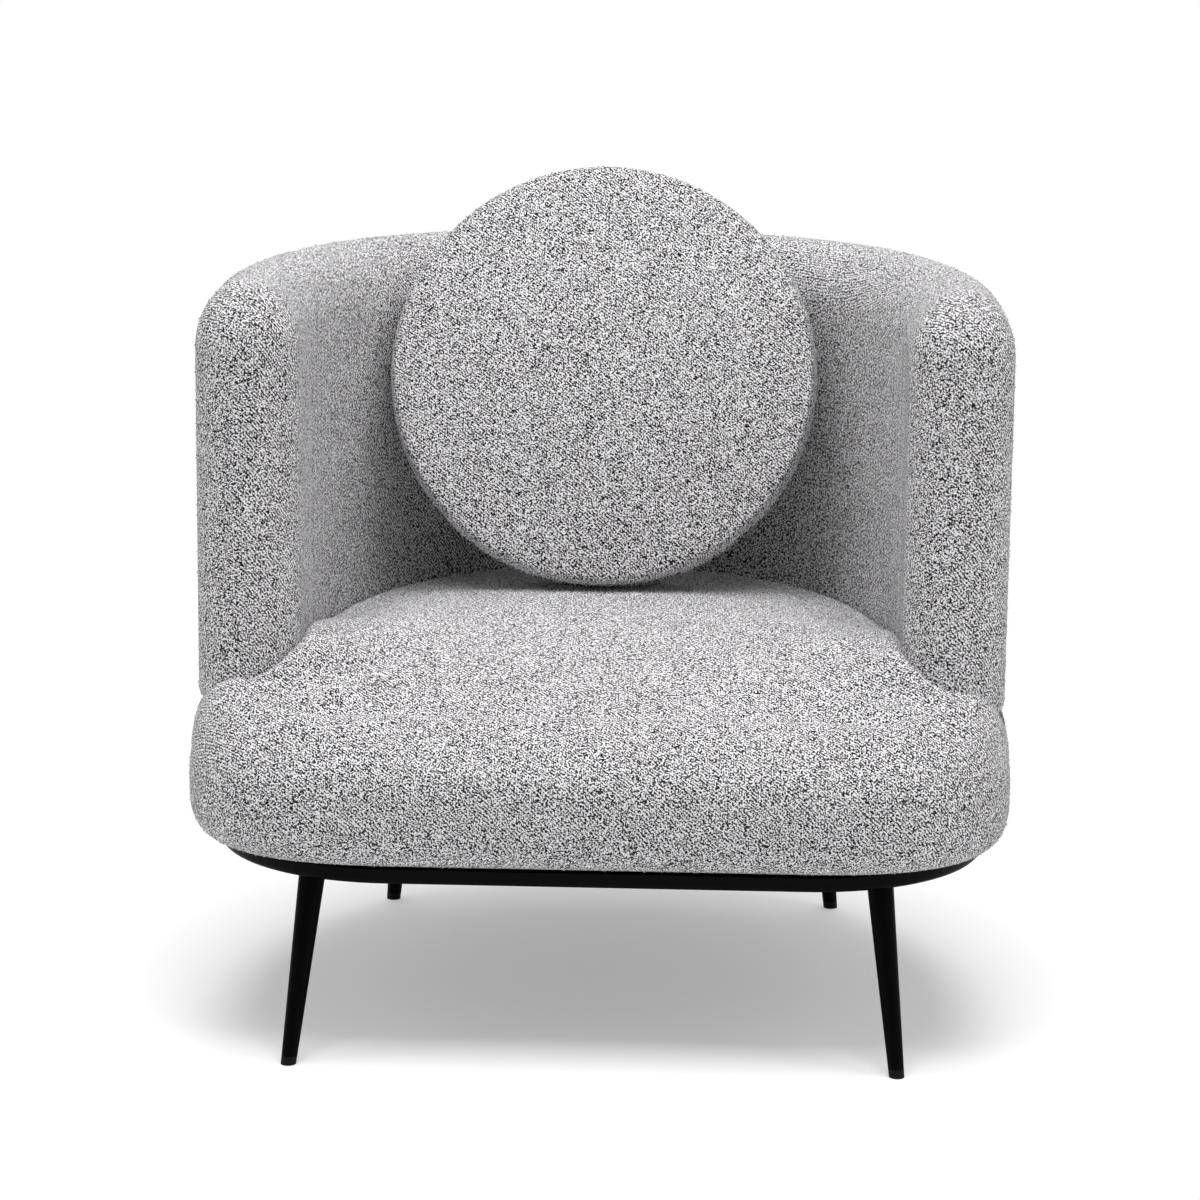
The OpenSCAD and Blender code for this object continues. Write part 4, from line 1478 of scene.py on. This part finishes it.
@dataclass
class Studio:
    """Pale floor, soft lamps and the camera."""

    floor_r: float = 6.0
    floor_sides: int = 96
    floor_drop: float = 0.0004
    floor_grey: Colour = (0.86, 0.86, 0.86)
    floor_lift: float = 0.33
    floor_fade: tuple[float, float] = (0.40, 0.74)
    fill: float = 0.25
    distance: float = 4.0
    pitch: float = 0.21635
    yaw: float = 0.03307
    roll: float = 0.01112
    focal_px: float = 3918.4
    photo_px: float = 1200.0
    shift_px: tuple[float, float] = (-6.65, 4.84)
    sensor: float = 36.0
    clip: tuple[float, float] = (0.1, 60.0)
    target: tuple[float, float, float] = (0.0, -0.023, 0.4)
    lamps: tuple[Lamp, ...] = (
        Lamp("overhead", (0.0, -1.0, 5.0), (3.4, 2.8), 212.0),
        Lamp("behind", (0.0, 0.9, 2.8), (1.6, 1.0), 9.0),
        Lamp("side_left", (-2.0, -0.9, 1.3), (0.8, 1.4), 5.0),
        Lamp("side_right", (2.0, -0.9, 1.3), (0.8, 1.4), 7.0),
    )

    def camera(self) -> None:
        """Places the camera where the photograph was taken from."""
        data = bpy.data.cameras.new("camera")
        data.sensor_width = self.sensor
        data.lens = self.focal_px / self.photo_px * data.sensor_width
        data.shift_x, data.shift_y = (px / self.photo_px for px in self.shift_px)
        data.clip_start, data.clip_end = self.clip
        camera = linked("camera", data)
        level = math.cos(self.pitch)
        away = (math.sin(self.yaw) * level, -math.cos(self.yaw) * level, math.sin(self.pitch))
        back = Vector(away)
        camera.location = Vector(self.target) + back * self.distance
        camera.rotation_mode = "QUATERNION"
        tilt = Quaternion((0.0, 0.0, 1.0), self.roll)
        camera.rotation_quaternion = (-back).to_track_quat("-Z", "Y") @ tilt
        bpy.context.scene.camera = camera

    def floor(self) -> None:
        """Lays a pale floor that keeps shadows near the chair and fades to white."""
        mesh = bpy.data.meshes.new("floor")
        work = bmesh.new()
        size = {"radius": self.floor_r, "segments": self.floor_sides}
        bmesh.ops.create_circle(work, cap_ends=True, **size)
        work.to_mesh(mesh)
        work.free()
        floor = linked("floor", mesh)
        floor.location.z = -self.floor_drop
        shader = Shader("floor_white")
        here = shader.flow("ShaderNodeTexCoord", {}, {}, "Object")
        reach = shader.flow("ShaderNodeVectorMath", {"operation": "LENGTH"}, {0: here}, 1)
        seen = shader.flow("ShaderNodeLightPath", {}, {}, "Is Camera Ray")
        plain = shader.flow("ShaderNodeBsdfDiffuse", {}, {"Color": rgba(self.floor_grey)})
        glow = {"Color": rgba(WHITE), "Strength": seen * self.floor_lift}
        lift = shader.flow("ShaderNodeEmission", {}, glow)
        near = shader.flow("ShaderNodeAddShader", {}, {0: plain, 1: lift})
        white = shader.flow("ShaderNodeEmission", {}, {"Color": rgba(WHITE), "Strength": 1.0})
        fade = reach.step(*self.floor_fade)
        both = shader.flow("ShaderNodeMixShader", {}, {0: fade * seen, 1: near, 2: white})
        shader.node("ShaderNodeOutputMaterial", {}, {"Surface": both})
        mesh.materials.append(shader.material)

    def world(self) -> None:
        """Sets a white backdrop and a soft even fill."""
        world = bpy.data.worlds.new("studio")
        world.use_nodes = True
        sky = Graph(world.node_tree)
        path = sky.node("ShaderNodeLightPath", {}, {})
        rays = [Flow(sky, path.outputs[f"Is {ray} Ray"]) for ray in ("Camera", "Transmission")]
        seen = rays[0].math("MAXIMUM", *rays)
        strength = sky.flow("ShaderNodeMapRange", {}, {0: seen, 3: self.fill, 4: 1.0})
        light = {"Color": rgba(WHITE), "Strength": strength}
        shade = sky.flow("ShaderNodeBackground", {}, light)
        sky.node("ShaderNodeOutputWorld", {}, {"Surface": shade})
        bpy.context.scene.world = world

    def build(self) -> None:
        """Builds the whole setting."""
        self.camera()
        self.floor()
        self.world()
        for lamp in self.lamps:
            lamp.hang()
        bpy.context.scene.view_settings.view_transform = "Standard"


def main() -> None:
    """Builds the chair's dressed pieces and the setting, and reports them."""
    logging.basicConfig(level=logging.INFO, format="%(name)s: %(message)s")
    finishes = Finishes()
    finishes.dress_nodes()
    cushion = RoundCushion()
    parts = (SeatPad(), TubWall(), cushion, ZipTape(cushion), SpringFelt())
    pieces = [part.build(finishes) for part in parts]
    for piece in pieces:
        count = (len(piece.data.vertices), len(piece.data.polygons))
        LOG.info("%s: %d points, %d faces", piece.name, *count)
    bodies = ("chair", "chair", "round_cushion")
    YarnLoops().build(finishes, list(zip(pieces[:3], bodies)))
    Studio().build()


if __name__ == "__main__":
    main()
